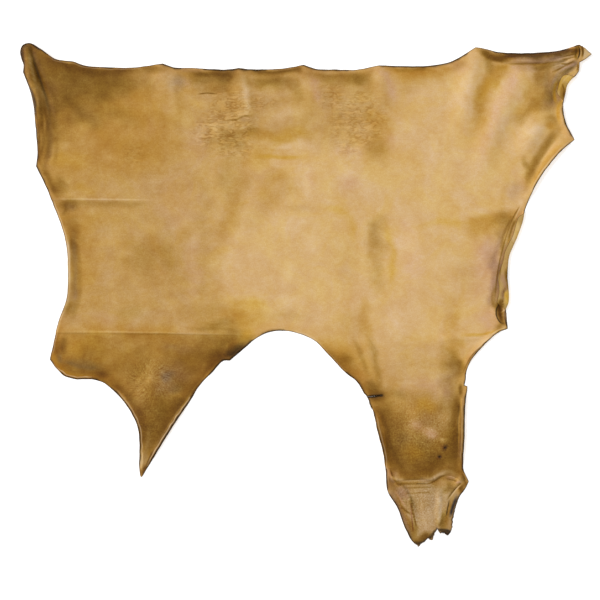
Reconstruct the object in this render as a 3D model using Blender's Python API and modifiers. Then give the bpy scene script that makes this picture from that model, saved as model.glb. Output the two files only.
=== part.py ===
"""Vegetable-tanned leather hide with two shanks, laid out flat, grain side up.

The hide is one sheet: a plan outline is filled with a net of points, the net is lifted into
folds, rolls and turned edges, and Solidify gives it the thickness of the leather.
"""

import math
from collections import namedtuple

import bmesh
import bpy
import numpy as np
from mathutils import Vector
from mathutils.geometry import delaunay_2d_cdt
from mathutils.kdtree import KDTree

# Driving dimensions, in metres.
HIDE_LENGTH = 1.536  # from the left corner to the tip of the right corner's tab
THICKNESS = 0.003
TURN_RADIUS = 0.0065  # the underside's bend where an edge turns over
TURN_ANGLE = math.radians(168)  # how far a turned edge comes round
EDGE_STEP = 0.016  # between points along the cut edge and along a fold
NET_STEP = 0.021  # the net on soft folds
OPEN_GROUND = 2  # elsewhere only one net point in this many is kept, each way
SOFT_FOLD = 0.060  # the widest half-width that needs the closer net
NARROW_FOLD = 0.024  # a fold under this half-width has rows of points that run along it
FOLD_ROWS = (-1.0, -0.5, 0.0, 0.5, 1.0)  # their places across the fold, in half-widths
LIP_ROWS = (0.3, 0.65, 1.0)  # rows along a lip, in shares of its width
TURN_ROWS = 6  # rows of points across a turned edge
CLEARANCE = 0.45  # of a row's own spacing, that it keeps from the points made before it

# Places are read on a squared plan of the laid hide: x to the right and y down, in squares.
PLAN_LENGTH = 569.2  # squares that HIDE_LENGTH covers
PLAN_MIDDLE = (305.85, 294.8)
SQUARE = HIDE_LENGTH / PLAN_LENGTH

# The cut edge, clockwise. Each stretch starts at a sharp point, where a drying clip held the
# hide or where it tore, and runs smoothly through the rest to the next stretch's first point.
EDGE = {
    "left clip": ((36.9, 166.2), (38.2, 154), (37.1, 134.5), (35.7, 119), (34.4, 104), (31, 90)),
    "corner pucker": (
        (24.3, 72.6), (25, 65), (22.7, 58.9), (21.4, 51), (23.4, 46.2), (28.5, 44.2),
        (40.6, 50), (56, 60.3), (64, 61.9), (72, 62.4), (82, 65.8), (109, 68.2), (134, 68.3),
        (149, 66.5),
    ),
    "first back clip": ((162.6, 64.4), (172.4, 67.9), (193, 68.8), (211, 69.9), (229.6, 70.2)),
    "second back clip": ((238.2, 69), (248.7, 70), (264, 70.2), (283, 69.3)),
    "third back clip": ((303.8, 65.8), (314.3, 69.3), (336, 70.4), (359, 70.3), (370.8, 67.9)),
    "fourth back clip": ((379.4, 66.3), (403, 66.9), (432, 66.3), (451, 62.4), (462.7, 56.5)),
    "fifth back clip": (
        (475.5, 48.4), (484, 49.6), (499, 53), (515, 53.9), (541, 53.4), (558, 52.1), (570, 49.2),
    ),
    "knot": ((577.9, 46.4), (583.6, 49.2), (587.3, 52.4)),
    "tab": ((590.4, 54.5), (583.2, 59.7)),
    "tab root": ((578.4, 62.5),),
    "turned corner": (
        (577.8, 71), (575.4, 74.8), (569.5, 80.3), (566.2, 85.6), (564.8, 92), (562.6, 102),
        (562.2, 110.5), (563.6, 119), (566, 126.4), (569.4, 132.8),
    ),
    "belly clip": (
        (573.6, 139.6), (563, 148.1), (551.2, 160.8), (543.9, 170.3), (537.1, 180.6), (528.6, 198),
        (523.6, 212), (521.9, 220.6), (516.1, 237.4), (508.6, 255.2), (506.5, 277), (507.9, 296.4),
        (507.2, 303.6),
    ),
    "roll end": ((505, 309), (505.7, 317)),
    "flank clip": (
        (506.9, 328.2), (502, 329.8), (494.2, 334.4), (480.2, 347.9), (469.9, 360.5),
        (465.6, 371.5), (464.4, 381.8),
    ),
    "nick": ((463.2, 385.8),),
    "shank side": (
        (466.7, 386.6), (464.7, 402), (463.8, 418), (463.6, 435), (462.4, 459.6), (462.7, 469.6),
    ),
    "shank clip": (
        (467.9, 481.5), (464.4, 488.7), (459.2, 495.6), (454.2, 509.3), (451.6, 521), (450.7, 529.6),
    ),
    "torn right tip": ((447.2, 534.9), (444.2, 532), (440.9, 532.3)),
    "tear": ((436.7, 526.8), (434.6, 531.5)),
    "torn rag": ((431.8, 539.5), (428.6, 537.8), (425.4, 539.5)),
    "torn left tip": (
        (418.4, 545.4), (413.9, 541.8), (405.9, 527.9), (397.5, 506.3), (388.9, 492.5),
        (386.3, 470), (383.3, 450.5), (377.7, 429.5), (374.2, 412.6),
    ),
    "slit mouth": ((367.1, 397.35),),
    "slit tip": ((381.5, 395.5),),
    "neck cut": (
        (366.8, 396.8), (356.2, 379.9), (347.2, 373.1), (333.2, 358.5), (324.9, 349.6),
        (318.6, 342.8), (300, 333.1), (282.6, 329.9), (266.3, 332.3), (256.6, 337.1),
        (240.5, 350.6),
    ),
    "nub": (
        (229.6, 359.8), (225.2, 359.7), (211.4, 372), (199.2, 384.6), (189.5, 400.6),
        (178.7, 416.1), (168.3, 432.3), (156.3, 452),
    ),
    "left shank tip": (
        (141.2, 476.5), (139.9, 466), (140.3, 452), (138, 425.4), (128, 406),
        (113.1, 389.2), (103.4, 381.8), (93, 378.7), (75, 378.2), (65.1, 375.3), (57, 367.6),
    ),
    "lower left clip": (
        (50.7, 359.3), (54.9, 341.5), (58.7, 323.6), (67.4, 299), (68.9, 269), (67.7, 248),
        (63.5, 229.4), (55.5, 208), (47.8, 188.8),
    ),
}

# A fold is a ridge, or a trough where its height is negative, along a path on the plan.
# Half-widths are on its left and right hand as the path runs; spread widens the far end, and
# start and end give the share of the height that is left there. Sizes are in millimetres.
Fold = namedtuple("Fold", "name path height left right spread start end")
FOLDS = (
    Fold("corner roll", ((27.5, 50), (28.8, 65), (32, 80), (36.5, 97), (39, 116), (40, 140)),
         14, 15, 11, 1.0, 0.8, 0.0),
    Fold("corner groove", ((30, 53), (35.5, 68), (41, 81), (46, 97), (49.5, 117), (51.5, 145)),
         -9, 16, 11, 1.3, 0.5, 0.0),
    Fold("first back fold", ((163, 68), (166, 88), (169, 118)), 3.5, 30, 32, 1.8, 0.9, 0.0),
    Fold("second back fold", ((239, 71), (245, 100), (247, 160)), 4, 24, 26, 1.9, 0.9, 0.0),
    Fold("third back fold", ((304, 70), (312, 92), (316, 118)), 3.5, 26, 28, 1.7, 0.9, 0.0),
    Fold("fourth back fold", ((380, 70), (383, 92), (386, 112)), 3.5, 28, 28, 1.6, 0.9, 0.0),
    Fold("fifth back fold", ((476, 52), (470, 80), (463, 118), (455, 150)), 8, 42, 44, 1.4, 0.7, 0.0),
    Fold("shoulder fold", ((528, 68), (514, 90), (497, 122), (484, 160), (478, 192)),
         8, 44, 46, 1.1, 0.4, 0.0),
    Fold("back roll", ((480, 53), (500, 58.5), (522, 60.5), (546, 58.6), (572, 52)),
         10, 14, 12, 1.0, 0.2, 1.0),
    Fold("upper gather", ((571, 56), (561, 60), (545, 66)), 4, 7, 7, 1.5, 0.5, 0.0),
    Fold("lower gather", ((572, 64), (564, 72), (555, 82), (549, 100)), 7, 12, 12, 1.3, 0.4, 0.1),
    Fold("belly bump", ((541, 120), (530, 140), (521, 165)), 9, 40, 46, 1.0, 0.6, 0.0),
    Fold("belly groove", ((558, 128), (549, 146), (537, 166), (529, 188)), -5, 18, 16, 1.0, 0.2, 0.2),
    Fold("roll shoulder", ((517, 212), (506, 238), (498, 262), (494, 290), (495, 312)),
         5, 16, 14, 1.0, 0.2, 0.6),
    Fold("storage crease", ((55, 331.6), (110, 332), (180, 332.4), (258, 333.5)),
         4, 20, 6, 1.0, 1.0, 0.3),
    Fold("storage crease, right", ((432, 337.5), (462, 337), (488, 336)), 4, 14, 18, 1.0, 0.1, 0.8),
    Fold("upper crease", ((52, 198.6), (100, 198.8), (152, 200)), 3, 16, 7, 1.0, 1.0, 0.1),
    Fold("shank edge groove", ((388, 418), (393, 440), (398, 458)), -5, 14, 12, 1.0, 0.2, 0.3),
    Fold("knuckle", ((394, 479), (408, 477.6), (424, 477), (433, 478), (440, 474), (452, 473.4),
                     (462, 478.5)), 9, 20, 7, 1.0, 0.5, 0.6),
    Fold("knuckle side", ((461, 478), (452, 488), (444, 500)), 6, 9, 9, 1.2, 0.9, 0.0),
    Fold("knuckle heel", ((396, 480), (403, 488), (411, 503), (416, 526)), 5, 8, 8, 1.2, 0.8, 0.1),
    Fold("shank streak", ((439, 488), (438, 505), (437.5, 523)), 6, 9, 9, 1.0, 0.1, 0.8),
    Fold("lobe fold", ((104, 381), (99, 372), (90, 364)), -4, 14, 16, 1.4, 1.0, 0.0),
)

# A swell is a broad rise of the sheet: its middle and reaches on the plan, its height in mm.
Swell = namedtuple("Swell", "name x y reach_x reach_y height")
SWELLS = (
    Swell("pulled-up corner", 44, 70, 70, 62, 12),
    Swell("gathered corner", 572, 56, 46, 34, 12),
    Swell("knot", 578, 51, 11, 11, 10),
    Swell("upper left billow", 122, 118, 72, 46, 5),
    Swell("middle billow", 322, 178, 96, 52, 5),
    Swell("left billow", 150, 264, 80, 46, 4),
    Swell("right billow", 428, 266, 62, 56, 5),
    Swell("left lobe", 78, 352, 46, 32, 6),
    Swell("left shank", 148, 395, 30, 60, 6),
    Swell("right shank", 424, 430, 36, 52, 7),
    Swell("shank end", 424, 506, 34, 36, 6),
)

# A lip is a stretch of cut edge that stands up: it goes from start to end on the plan's edge,
# clockwise. Height and width are in millimetres.
Lip = namedtuple("Lip", "name start end height width")
LIPS = (
    Lip("upper belly lip", (562.6, 102), (573.6, 139.6), 8, 22),
    Lip("belly lip", (573.6, 139.6), (526, 206), 13, 36),
    Lip("flank lip", (506.9, 328.2), (466, 370), 6, 18),
    Lip("outer shank lip", (466.7, 386.6), (463.7, 469.5), 8, 14),
    Lip("inner shank lip", (386.3, 470), (374.2, 412.6), 8, 20),
    Lip("left shank lip", (189.5, 400.6), (150, 463), 5, 16),
    Lip("left edge lip", (58.7, 323.6), (64.1, 229), 5, 16),
)

# A turn is a stretch where the edge curls up and over on to the grain. Its width, in
# millimetres, is that of the strip of leather in the curl; grow and fade are the shares of
# the stretch in which it widens and narrows.
Turn = namedtuple("Turn", "name start end width grow fade")
TURNS = (
    Turn("corner turn", (576, 73), (562.8, 106), 40, 0.35, 0.35),
    Turn("flank turn", (525, 207), (505.4, 312), 29, 0.12, 0.04),
    Turn("flank turn, wider end", (525, 207), (505.4, 312), 45, 0.85, 0.06),
)

LEATHER_COLOUR = (0.55, 0.36, 0.15, 1)
LEATHER_ROUGHNESS = 0.5
NODE_NAME = "hide"
MILLIMETRE = 0.001


def on_plan(place):
    """A place on the squared plan, in metres from the middle of the hide."""
    across = (place[0] - PLAN_MIDDLE[0]) * SQUARE
    up = (PLAN_MIDDLE[1] - place[1]) * SQUARE
    return np.array((across, up))


def smooth(share):
    """0 to 1 with flat ends."""
    share = np.clip(share, 0.0, 1.0)
    return share * share * (3 - 2 * share)


def curve_through(points, step):
    """Points about a step apart on a smooth curve through the given ones, its last left out."""
    points = np.array(points)
    knots = np.concatenate(([0.0], np.cumsum(np.linalg.norm(np.diff(points, axis=0), axis=1))))
    slopes = np.gradient(points, knots, axis=0)
    count = max(1, round(knots[-1] / step))
    found = []
    for place in np.linspace(0, knots[-1], count, endpoint=False):
        k = min(np.searchsorted(knots, place, side="right") - 1, len(points) - 2)
        gap = knots[k + 1] - knots[k]
        t = (place - knots[k]) / gap
        found.append(
            (2 * t**3 - 3 * t**2 + 1) * points[k]
            + (t**3 - 2 * t**2 + t) * gap * slopes[k]
            + (3 * t**2 - 2 * t**3) * points[k + 1]
            + (t**3 - t**2) * gap * slopes[k + 1]
        )
    return found


def cut_edge():
    """The outline of the laid hide, as an array of points, clockwise seen from above."""
    stretches = [[on_plan(place) for place in stretch] for stretch in EDGE.values()]
    found = []
    for stretch, following in zip(stretches, stretches[1:] + stretches[:1]):
        found += curve_through([*stretch, following[0]], EDGE_STEP)
    return np.array(found)


def outward_normals(edge):
    """Unit vectors that point out of a clockwise outline, one a point."""
    along = np.roll(edge, -1, axis=0) - np.roll(edge, 1, axis=0)
    along /= np.linalg.norm(along, axis=1)[:, None]
    return np.stack((-along[:, 1], along[:, 0]), axis=1)


def window(edge, start, end, grow, fade):
    """For each point of the edge, 0 outside a stretch of it, rising to 1 inside."""
    lengths = np.linalg.norm(np.roll(edge, -1, axis=0) - edge, axis=1)
    stations = np.concatenate(([0.0], np.cumsum(lengths)[:-1]))
    whole = lengths.sum()
    first = stations[np.linalg.norm(edge - on_plan(start), axis=1).argmin()]
    last = stations[np.linalg.norm(edge - on_plan(end), axis=1).argmin()]
    share = ((stations - first) % whole) / ((last - first) % whole)
    inside = share <= 1
    return np.where(inside, smooth(share / grow) * smooth((1 - share) / fade), 0.0)


def crest(fold):
    """The line of a fold's crest, in points EDGE_STEP apart."""
    path = [on_plan(place) for place in fold.path]
    return np.array([*curve_through(path, EDGE_STEP), path[-1]])


def beside(corners, places):
    """Distance of places from a line, left of it positive, and the share of its length there."""
    spans = np.linalg.norm(np.diff(corners, axis=0), axis=1)
    best = np.full(len(places), np.inf)
    side = np.zeros(len(places))
    share = np.zeros(len(places))
    travelled = 0.0
    for corner, following, span in zip(corners[:-1], corners[1:], spans):
        heading = (following - corner) / span
        offset = places - corner
        along = np.clip(offset @ heading, 0, span)
        away = np.linalg.norm(offset - along[:, None] * heading, axis=1)
        nearer = away < best
        left = heading[0] * offset[:, 1] - heading[1] * offset[:, 0]
        best = np.where(nearer, away, best)
        side = np.where(nearer, np.sign(left), side)
        share = np.where(nearer, (travelled + along) / spans.sum(), share)
        travelled += span
    return best * np.where(side < 0, -1, 1), share


def fold_reach(fold, offset, share):
    """A fold's half-width beside each place."""
    width = np.where(offset > 0, fold.left, fold.right) * MILLIMETRE
    return width * (1 + (fold.spread - 1) * share)


def nearest_on(points, places):
    """For each place, the number of the nearest of some points and its distance."""
    tree = KDTree(len(points))
    for number, point in enumerate(points):
        tree.insert((*point, 0), number)
    tree.balance()
    found = [tree.find((*place, 0)) for place in places]
    return np.array([item[1] for item in found], int), np.array([item[2] for item in found])


def relief(places, edge, lips):
    """How high the underside of the sheet lies above the ground at each place."""
    height = np.zeros(len(places))
    for swell in SWELLS:
        offset = (places - on_plan((swell.x, swell.y))) / SQUARE
        away = np.hypot(offset[:, 0] / swell.reach_x, offset[:, 1] / swell.reach_y)
        height += swell.height * MILLIMETRE * smooth(1 - away)
    for fold in FOLDS:
        offset, share = beside(crest(fold), places)
        across = smooth(1 - np.abs(offset) / fold_reach(fold, offset, share))
        rise = fold.start + (1 - fold.start) * smooth(share / 0.35)
        fall = fold.end + (1 - fold.end) * smooth((1 - share) / 0.5)
        height += fold.height * MILLIMETRE * across * rise * fall
    number, away = nearest_on(edge, places)
    for lip, strength in lips:
        across = smooth(1 - away / (lip.width * MILLIMETRE))
        height += lip.height * MILLIMETRE * across * strength[number]
    return np.maximum(height, 0.0)


def rows_on_folds():
    """Rows of points along each narrow fold, with the spacing that each fold's rows keep."""
    for fold in FOLDS:
        if max(fold.left, fold.right) * MILLIMETRE > NARROW_FOLD:
            continue
        line = crest(fold)
        heading = np.gradient(line, axis=0)
        heading /= np.linalg.norm(heading, axis=1)[:, None]
        left = np.stack((-heading[:, 1], heading[:, 0]), axis=1)
        share = np.linspace(0, 1, len(line))
        for row in FOLD_ROWS:
            reach = fold_reach(fold, np.full(len(line), row), share)
            yield line + left * (row * reach)[:, None], fold.left * MILLIMETRE / 2


def rows_on_lips(edge, normals, lips):
    """Rows of points along each lip, inside the edge."""
    for lip, strength in lips:
        on_lip = strength > 0
        for row in LIP_ROWS:
            inset = normals[on_lip] * lip.width * MILLIMETRE * row
            yield edge[on_lip] - inset, lip.width * MILLIMETRE * LIP_ROWS[0]


def net_inside(edge):
    """Points of a net of triangles inside the edge, closer together on soft folds."""
    low, high = edge.min(axis=0), edge.max(axis=0)
    rise = NET_STEP * math.sqrt(3) / 2
    rows = np.arange(int((high[1] - low[1]) / rise) + 1)
    columns = np.arange(-len(rows) // 2 - 1, int((high[0] - low[0]) / NET_STEP) + 1)
    column, row = np.meshgrid(columns, rows)
    column, row = column.ravel(), row.ravel()
    places = low + np.stack(((column + row / 2) * NET_STEP, row * rise), axis=1)
    on_fold = np.zeros(len(places), bool)
    for fold in FOLDS:
        offset, share = beside(crest(fold), places)
        reach = fold_reach(fold, offset, share)
        on_fold |= (np.abs(offset) < reach + NET_STEP / 2) & (reach < SOFT_FOLD)
    coarse = (column % OPEN_GROUND == 0) & (row % OPEN_GROUND == 0)
    return places[coarse | on_fold]


def inside_of(edge, places):
    """Whether each place is inside a closed outline."""
    inside = np.zeros(len(places), bool)
    for (x0, y0), (x1, y1) in zip(edge, np.roll(edge, -1, axis=0)):
        spans = (places[:, 1] < y0) != (places[:, 1] < y1)
        if spans.any():
            crossing = x0 + (places[:, 1] - y0) * (x1 - x0) / (y1 - y0)
            inside ^= spans & (places[:, 0] < crossing)
    return inside


def hide_sheet():
    """The underside of the hide, as flat pattern points, points in space and triangles."""
    edge = cut_edge()
    normals = outward_normals(edge)
    lips = [(lip, window(edge, lip.start, lip.end, 0.25, 0.25)) for lip in LIPS]
    width = np.zeros(len(edge))
    for turn in TURNS:
        strength = window(edge, turn.start, turn.end, turn.grow, turn.fade)
        width = np.maximum(width, turn.width * MILLIMETRE * strength)
    curl = np.minimum(width / TURN_RADIUS, TURN_ANGLE)
    inset = TURN_RADIUS * np.sin(np.minimum(curl, math.pi / 2))
    turned = width > NET_STEP / 2
    inset[~turned] = 0
    width[~turned] = 0
    bend_line = edge - normals * inset[:, None]
    bend_height = relief(bend_line, edge, lips)

    flat = list(edge + normals * (width - inset)[:, None])
    placed = []
    rows = [(number, TURN_ROWS) for number in range(len(edge))]
    for number in np.nonzero(turned)[0]:
        rows += [(number, row) for row in range(TURN_ROWS)]
        flat += [bend_line[number] + normals[number] * width[number] * row / TURN_ROWS
                 for row in range(TURN_ROWS)]
    for number, row in rows:
        run = width[number] * row / TURN_ROWS
        angle = min(run / TURN_RADIUS, TURN_ANGLE)
        straight = run - angle * TURN_RADIUS
        out = TURN_RADIUS * math.sin(angle) + straight * math.cos(angle)
        up = TURN_RADIUS * (1 - math.cos(angle)) + straight * math.sin(angle)
        place = bend_line[number] + normals[number] * out
        placed.append((*place, bend_height[number] + up))

    groups = [*rows_on_lips(edge, normals, lips), *rows_on_folds(), (net_inside(edge), NET_STEP)]
    for places, spacing in groups:
        places = places[inside_of(edge, places)]
        _, away = nearest_on(flat, places)
        places = places[away > CLEARANCE * spacing]
        flat += list(places)
        placed += [(*place, up) for place, up in zip(places, relief(places, edge, lips))]

    outline = list(range(len(edge)))[::-1]
    corners = [Vector(point) for point in flat]
    inside_only = 1
    _, _, faces, origins, _, _ = delaunay_2d_cdt(corners, [], [outline], inside_only, 1e-7)
    return [placed[origin[0]] for origin in origins], faces


def leather():
    material = bpy.data.materials.new("leather")
    material.use_nodes = True
    shader = material.node_tree.nodes["Principled BSDF"]
    shader.inputs["Base Color"].default_value = LEATHER_COLOUR
    shader.inputs["Roughness"].default_value = LEATHER_ROUGHNESS
    shader.inputs["Metallic"].default_value = 0.0
    material.diffuse_color = LEATHER_COLOUR
    return material


def build():
    for old in list(bpy.data.objects):
        bpy.data.objects.remove(old)
    collection = bpy.data.collections.new("leather_hide")
    bpy.context.scene.collection.children.link(collection)

    points, faces = hide_sheet()
    sheet = bmesh.new()
    corners = [sheet.verts.new(point) for point in points]
    for face in faces:
        sheet.faces.new([corners[number] for number in face])
    loose = [vertex for vertex in sheet.verts if not vertex.link_faces]
    bmesh.ops.delete(sheet, geom=loose, context="VERTS")
    mesh = bpy.data.meshes.new(NODE_NAME)
    sheet.to_mesh(mesh)
    sheet.free()
    mesh.shade_smooth()
    mesh.materials.append(leather())

    hide = bpy.data.objects.new(NODE_NAME, mesh)
    collection.objects.link(hide)
    wall = hide.modifiers.new("leather thickness", "SOLIDIFY")
    wall.thickness = THICKNESS
    wall.offset = 1.0


build()
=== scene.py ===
# %% [markdown]
# # A tanned hide, laid out on a table
# The solid model that this lesson dresses is one sheet of leather, 3 mm thick, in the shape in
# which it lies. Here the same sheet is made again in a much finer net, so that it can carry the
# small gathers, the rounded cut edge, the pits and the uneven tan of real leather. It stays on
# the folds of the solid: the plan, the folds and the turned edges have the same sizes there.

# %% Load the frame
import math
from collections import namedtuple

import bpy
import numpy as np
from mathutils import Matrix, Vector
from mathutils.geometry import delaunay_2d_cdt
from mathutils.kdtree import KDTree


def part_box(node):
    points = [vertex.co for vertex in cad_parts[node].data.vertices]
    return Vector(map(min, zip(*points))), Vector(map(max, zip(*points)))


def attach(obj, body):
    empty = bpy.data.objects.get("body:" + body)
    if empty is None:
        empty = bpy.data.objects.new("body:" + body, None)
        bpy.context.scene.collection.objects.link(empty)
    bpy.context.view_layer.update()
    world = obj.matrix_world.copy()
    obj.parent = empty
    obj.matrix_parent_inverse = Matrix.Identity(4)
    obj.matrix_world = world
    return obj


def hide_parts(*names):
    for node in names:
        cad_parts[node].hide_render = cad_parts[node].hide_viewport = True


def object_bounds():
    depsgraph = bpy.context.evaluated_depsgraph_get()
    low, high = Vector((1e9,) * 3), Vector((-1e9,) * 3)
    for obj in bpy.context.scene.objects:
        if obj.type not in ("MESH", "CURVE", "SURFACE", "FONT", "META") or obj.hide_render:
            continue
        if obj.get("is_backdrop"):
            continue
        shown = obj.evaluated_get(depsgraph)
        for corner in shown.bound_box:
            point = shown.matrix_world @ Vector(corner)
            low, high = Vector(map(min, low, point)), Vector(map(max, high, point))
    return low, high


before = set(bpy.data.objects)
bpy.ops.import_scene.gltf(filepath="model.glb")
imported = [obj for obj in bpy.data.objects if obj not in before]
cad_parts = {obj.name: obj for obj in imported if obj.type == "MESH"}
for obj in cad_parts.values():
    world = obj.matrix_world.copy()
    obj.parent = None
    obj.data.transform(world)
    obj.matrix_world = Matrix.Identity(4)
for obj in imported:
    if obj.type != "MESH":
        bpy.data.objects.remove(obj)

solid_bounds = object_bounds()
low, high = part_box("hide")
print("the solid hide reaches from", tuple(low), "to", tuple(high))

# %% [markdown]
# ## A squared plan
# A hide has no straight line on it, so a maker would lay it on squared paper and note where the
# edge and the folds cross the squares. Every place below is read on such a plan: x runs to the
# right and y runs down, in squares. Heights and widths are real sizes in millimetres.

# %% Plan squares in metres
HIDE_LENGTH = 1.536
PLAN_LENGTH = 569.2  # squares that HIDE_LENGTH covers
PLAN_MIDDLE = (305.85, 294.8)
SQUARE = HIDE_LENGTH / PLAN_LENGTH
MILLIMETRE = 0.001


def on_plan(place):
    """A place on the squared plan, in metres from the middle of the hide."""
    across = (place[0] - PLAN_MIDDLE[0]) * SQUARE
    up = (PLAN_MIDDLE[1] - place[1]) * SQUARE
    return np.array((across, up))


def smooth(share):
    """0 to 1 with flat ends."""
    share = np.clip(share, 0.0, 1.0)
    return share * share * (3 - 2 * share)


print("one square of the plan is", round(SQUARE * 1000, 3), "mm")

# %% [markdown]
# ## The cut edge
# The tannery stretches a wet hide on clips, and each clip pulls the edge out to a small peak
# with slack scallops between. The edge is therefore kept as stretches: each starts at a sharp
# point and runs smoothly to the next one. A Hermite curve is enough, and it needs few points.

# %% Stretches of the cut edge
EDGE = {
    "left clip": ((36.9, 166.2), (38.2, 154), (37.1, 134.5), (35.7, 119), (34.4, 104), (31, 90)),
    "corner pucker": (
        (24.3, 72.6), (25, 65), (22.7, 58.9), (21.4, 51), (23.4, 46.2), (28.5, 44.2),
        (40.6, 50), (56, 60.3), (64, 61.9), (72, 62.4), (82, 65.8), (109, 68.2), (134, 68.3),
        (149, 66.5),
    ),
    "first back clip": ((162.6, 64.4), (172.4, 67.9), (193, 68.8), (211, 69.9), (229.6, 70.2)),
    "second back clip": ((238.2, 69), (248.7, 70), (264, 70.2), (283, 69.3)),
    "third back clip": ((303.8, 65.8), (314.3, 69.3), (336, 70.4), (359, 70.3), (370.8, 67.9)),
    "fourth back clip": ((379.4, 66.3), (403, 66.9), (432, 66.3), (451, 62.4), (462.7, 56.5)),
    "fifth back clip": (
        (475.5, 48.4), (484, 49.6), (499, 53), (515, 53.9), (541, 53.4), (558, 52.1), (570, 49.2),
    ),
    "knot": ((577.9, 46.4), (583.6, 49.2), (587.3, 52.4)),
    "tab": ((590.4, 54.5), (583.2, 59.7)),
    "tab root": ((578.4, 62.5),),
    "turned corner": (
        (577.8, 71), (575.4, 74.8), (569.5, 80.3), (566.2, 85.6), (564.8, 92), (562.6, 102),
        (562.2, 110.5), (563.6, 119), (566, 126.4), (569.4, 132.8),
    ),
    "belly clip": (
        (573.6, 139.6), (563, 148.1), (551.2, 160.8), (543.9, 170.3), (537.1, 180.6), (528.6, 198),
        (523.6, 212), (521.9, 220.6), (516.1, 237.4), (508.6, 255.2), (506.5, 277), (507.9, 296.4),
        (507.2, 303.6),
    ),
    "roll end": ((505, 309), (505.7, 317)),
    "flank clip": (
        (506.9, 328.2), (502, 329.8), (494.2, 334.4), (480.2, 347.9), (469.9, 360.5),
        (465.6, 371.5), (464.4, 381.8),
    ),
    "nick": ((463.2, 385.8),),
    "shank side": (
        (466.7, 386.6), (464.7, 402), (463.8, 418), (463.6, 435), (462.4, 459.6), (462.7, 469.6),
    ),
    "shank clip": (
        (467.9, 481.5), (464.4, 488.7), (459.2, 495.6), (454.2, 509.3), (451.6, 521), (450.7, 529.6),
    ),
    "torn right tip": ((447.2, 534.9), (444.2, 532), (440.9, 532.3)),
    "tear": ((436.7, 526.8), (434.6, 531.5)),
    "torn rag": ((431.8, 539.5), (428.6, 537.8), (425.4, 539.5)),
    "torn left tip": (
        (418.4, 545.4), (413.9, 541.8), (405.9, 527.9), (397.5, 506.3), (388.9, 492.5),
        (386.3, 470), (383.3, 450.5), (377.7, 429.5), (374.2, 412.6),
    ),
    "slit mouth": ((366.95, 396.96),),
    "slit tip": ((381.5, 395.5),),
    "neck cut": (
        (366.8, 396.8), (356.2, 379.9), (347.2, 373.1), (333.2, 358.5), (324.9, 349.6),
        (318.6, 342.8), (300, 333.1), (282.6, 329.9), (266.3, 332.3), (256.6, 337.1),
        (240.5, 350.6),
    ),
    "nub": (
        (229.6, 359.8), (225.2, 359.7), (211.4, 372), (199.2, 384.6), (189.5, 400.6),
        (178.7, 416.1), (168.3, 432.3), (156.3, 452),
    ),
    "left shank tip": (
        (141.2, 476.5), (139.9, 466), (140.3, 452), (138, 425.4), (128, 406),
        (113.1, 389.2), (103.4, 381.8), (93, 378.7), (75, 378.2), (65.1, 375.3), (57, 367.6),
    ),
    "lower left clip": (
        (50.7, 359.3), (54.9, 341.5), (58.7, 323.6), (67.4, 299), (68.9, 269), (67.7, 248),
        (63.5, 229.4), (55.5, 208), (47.8, 188.8),
    ),
}
print(len(EDGE), "stretches and corners")

# %% [markdown]
# The curve's slope at each point comes from the points beside it. The points of the net lie
# on it at even steps, close enough for the scallops to look round.

# %% A smooth curve through them
EDGE_STEP = 3.6 * MILLIMETRE


def curve_through(points, step):
    """Points about a step apart on a smooth curve through the given ones, its last left out."""
    points = np.array(points)
    knots = np.concatenate(([0.0], np.cumsum(np.linalg.norm(np.diff(points, axis=0), axis=1))))
    slopes = np.gradient(points, knots, axis=0)
    places = np.linspace(0, knots[-1], max(1, round(knots[-1] / step)), endpoint=False)
    k = np.minimum(np.searchsorted(knots, places, side="right") - 1, len(points) - 2)
    gap = (knots[k + 1] - knots[k])[:, None]
    t = (places - knots[k])[:, None] / gap
    return (
        (2 * t**3 - 3 * t**2 + 1) * points[k]
        + (t**3 - 2 * t**2 + t) * gap * slopes[k]
        + (3 * t**2 - 2 * t**3) * points[k + 1]
        + (t**3 - t**2) * gap * slopes[k + 1]
    )


def plan_edge():
    """The outline of the laid hide, clockwise seen from above."""
    stretches = [[on_plan(place) for place in stretch] for stretch in EDGE.values()]
    pairs = zip(stretches, stretches[1:] + stretches[:1])
    return np.concatenate([curve_through([*one, after[0]], EDGE_STEP) for one, after in pairs])


edge = plan_edge()
print("the cut edge has", len(edge), "points")

# %% [markdown]
# A knife leaves an edge that wanders by a fraction of a millimetre, and the torn end of the
# shank is ragged. A few random waves with a fixed seed, added up, make soft clouds that serve
# for the wander here and for every uneven thing below. Random teeth fray the torn stretches.
# The slit is one clean stroke, so it has neither. The plan's line runs along the top of the
# rounded edge, so the thin rim then moves out from it by an overhang.

# %% Let the edge wander, and fray where it is torn
Stretch = namedtuple("Stretch", "start end amount grow fade")
FRAYED = (  # how many millimetres deep
    Stretch((456, 505), (413, 541), 1.5, 0.15, 0.1),
    Stretch((375, 414), (371, 404), 0.7, 0.3, 0.3),
)
SLIT = Stretch((371, 404), (364, 392), 1.0, 0.1, 0.1)  # one clean stroke of a knife
WANDER = 0.35  # mm
WANDER_SIZE = 12 * MILLIMETRE
OVERHANG = 2.3  # mm that the rounded cut edge stands outside the line of the plan
WAVES = 14  # that a cloud is the sum of
WAVE_LENGTHS = (1.2, 3.2)  # of a cloud's size, the shortest and the longest


def outward_normals(line):
    """Unit vectors that point out of a clockwise outline, one a point."""
    along = np.roll(line, -1, axis=0) - np.roll(line, 1, axis=0)
    along /= np.linalg.norm(along, axis=1)[:, None]
    return np.stack((-along[:, 1], along[:, 0]), axis=1)


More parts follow.
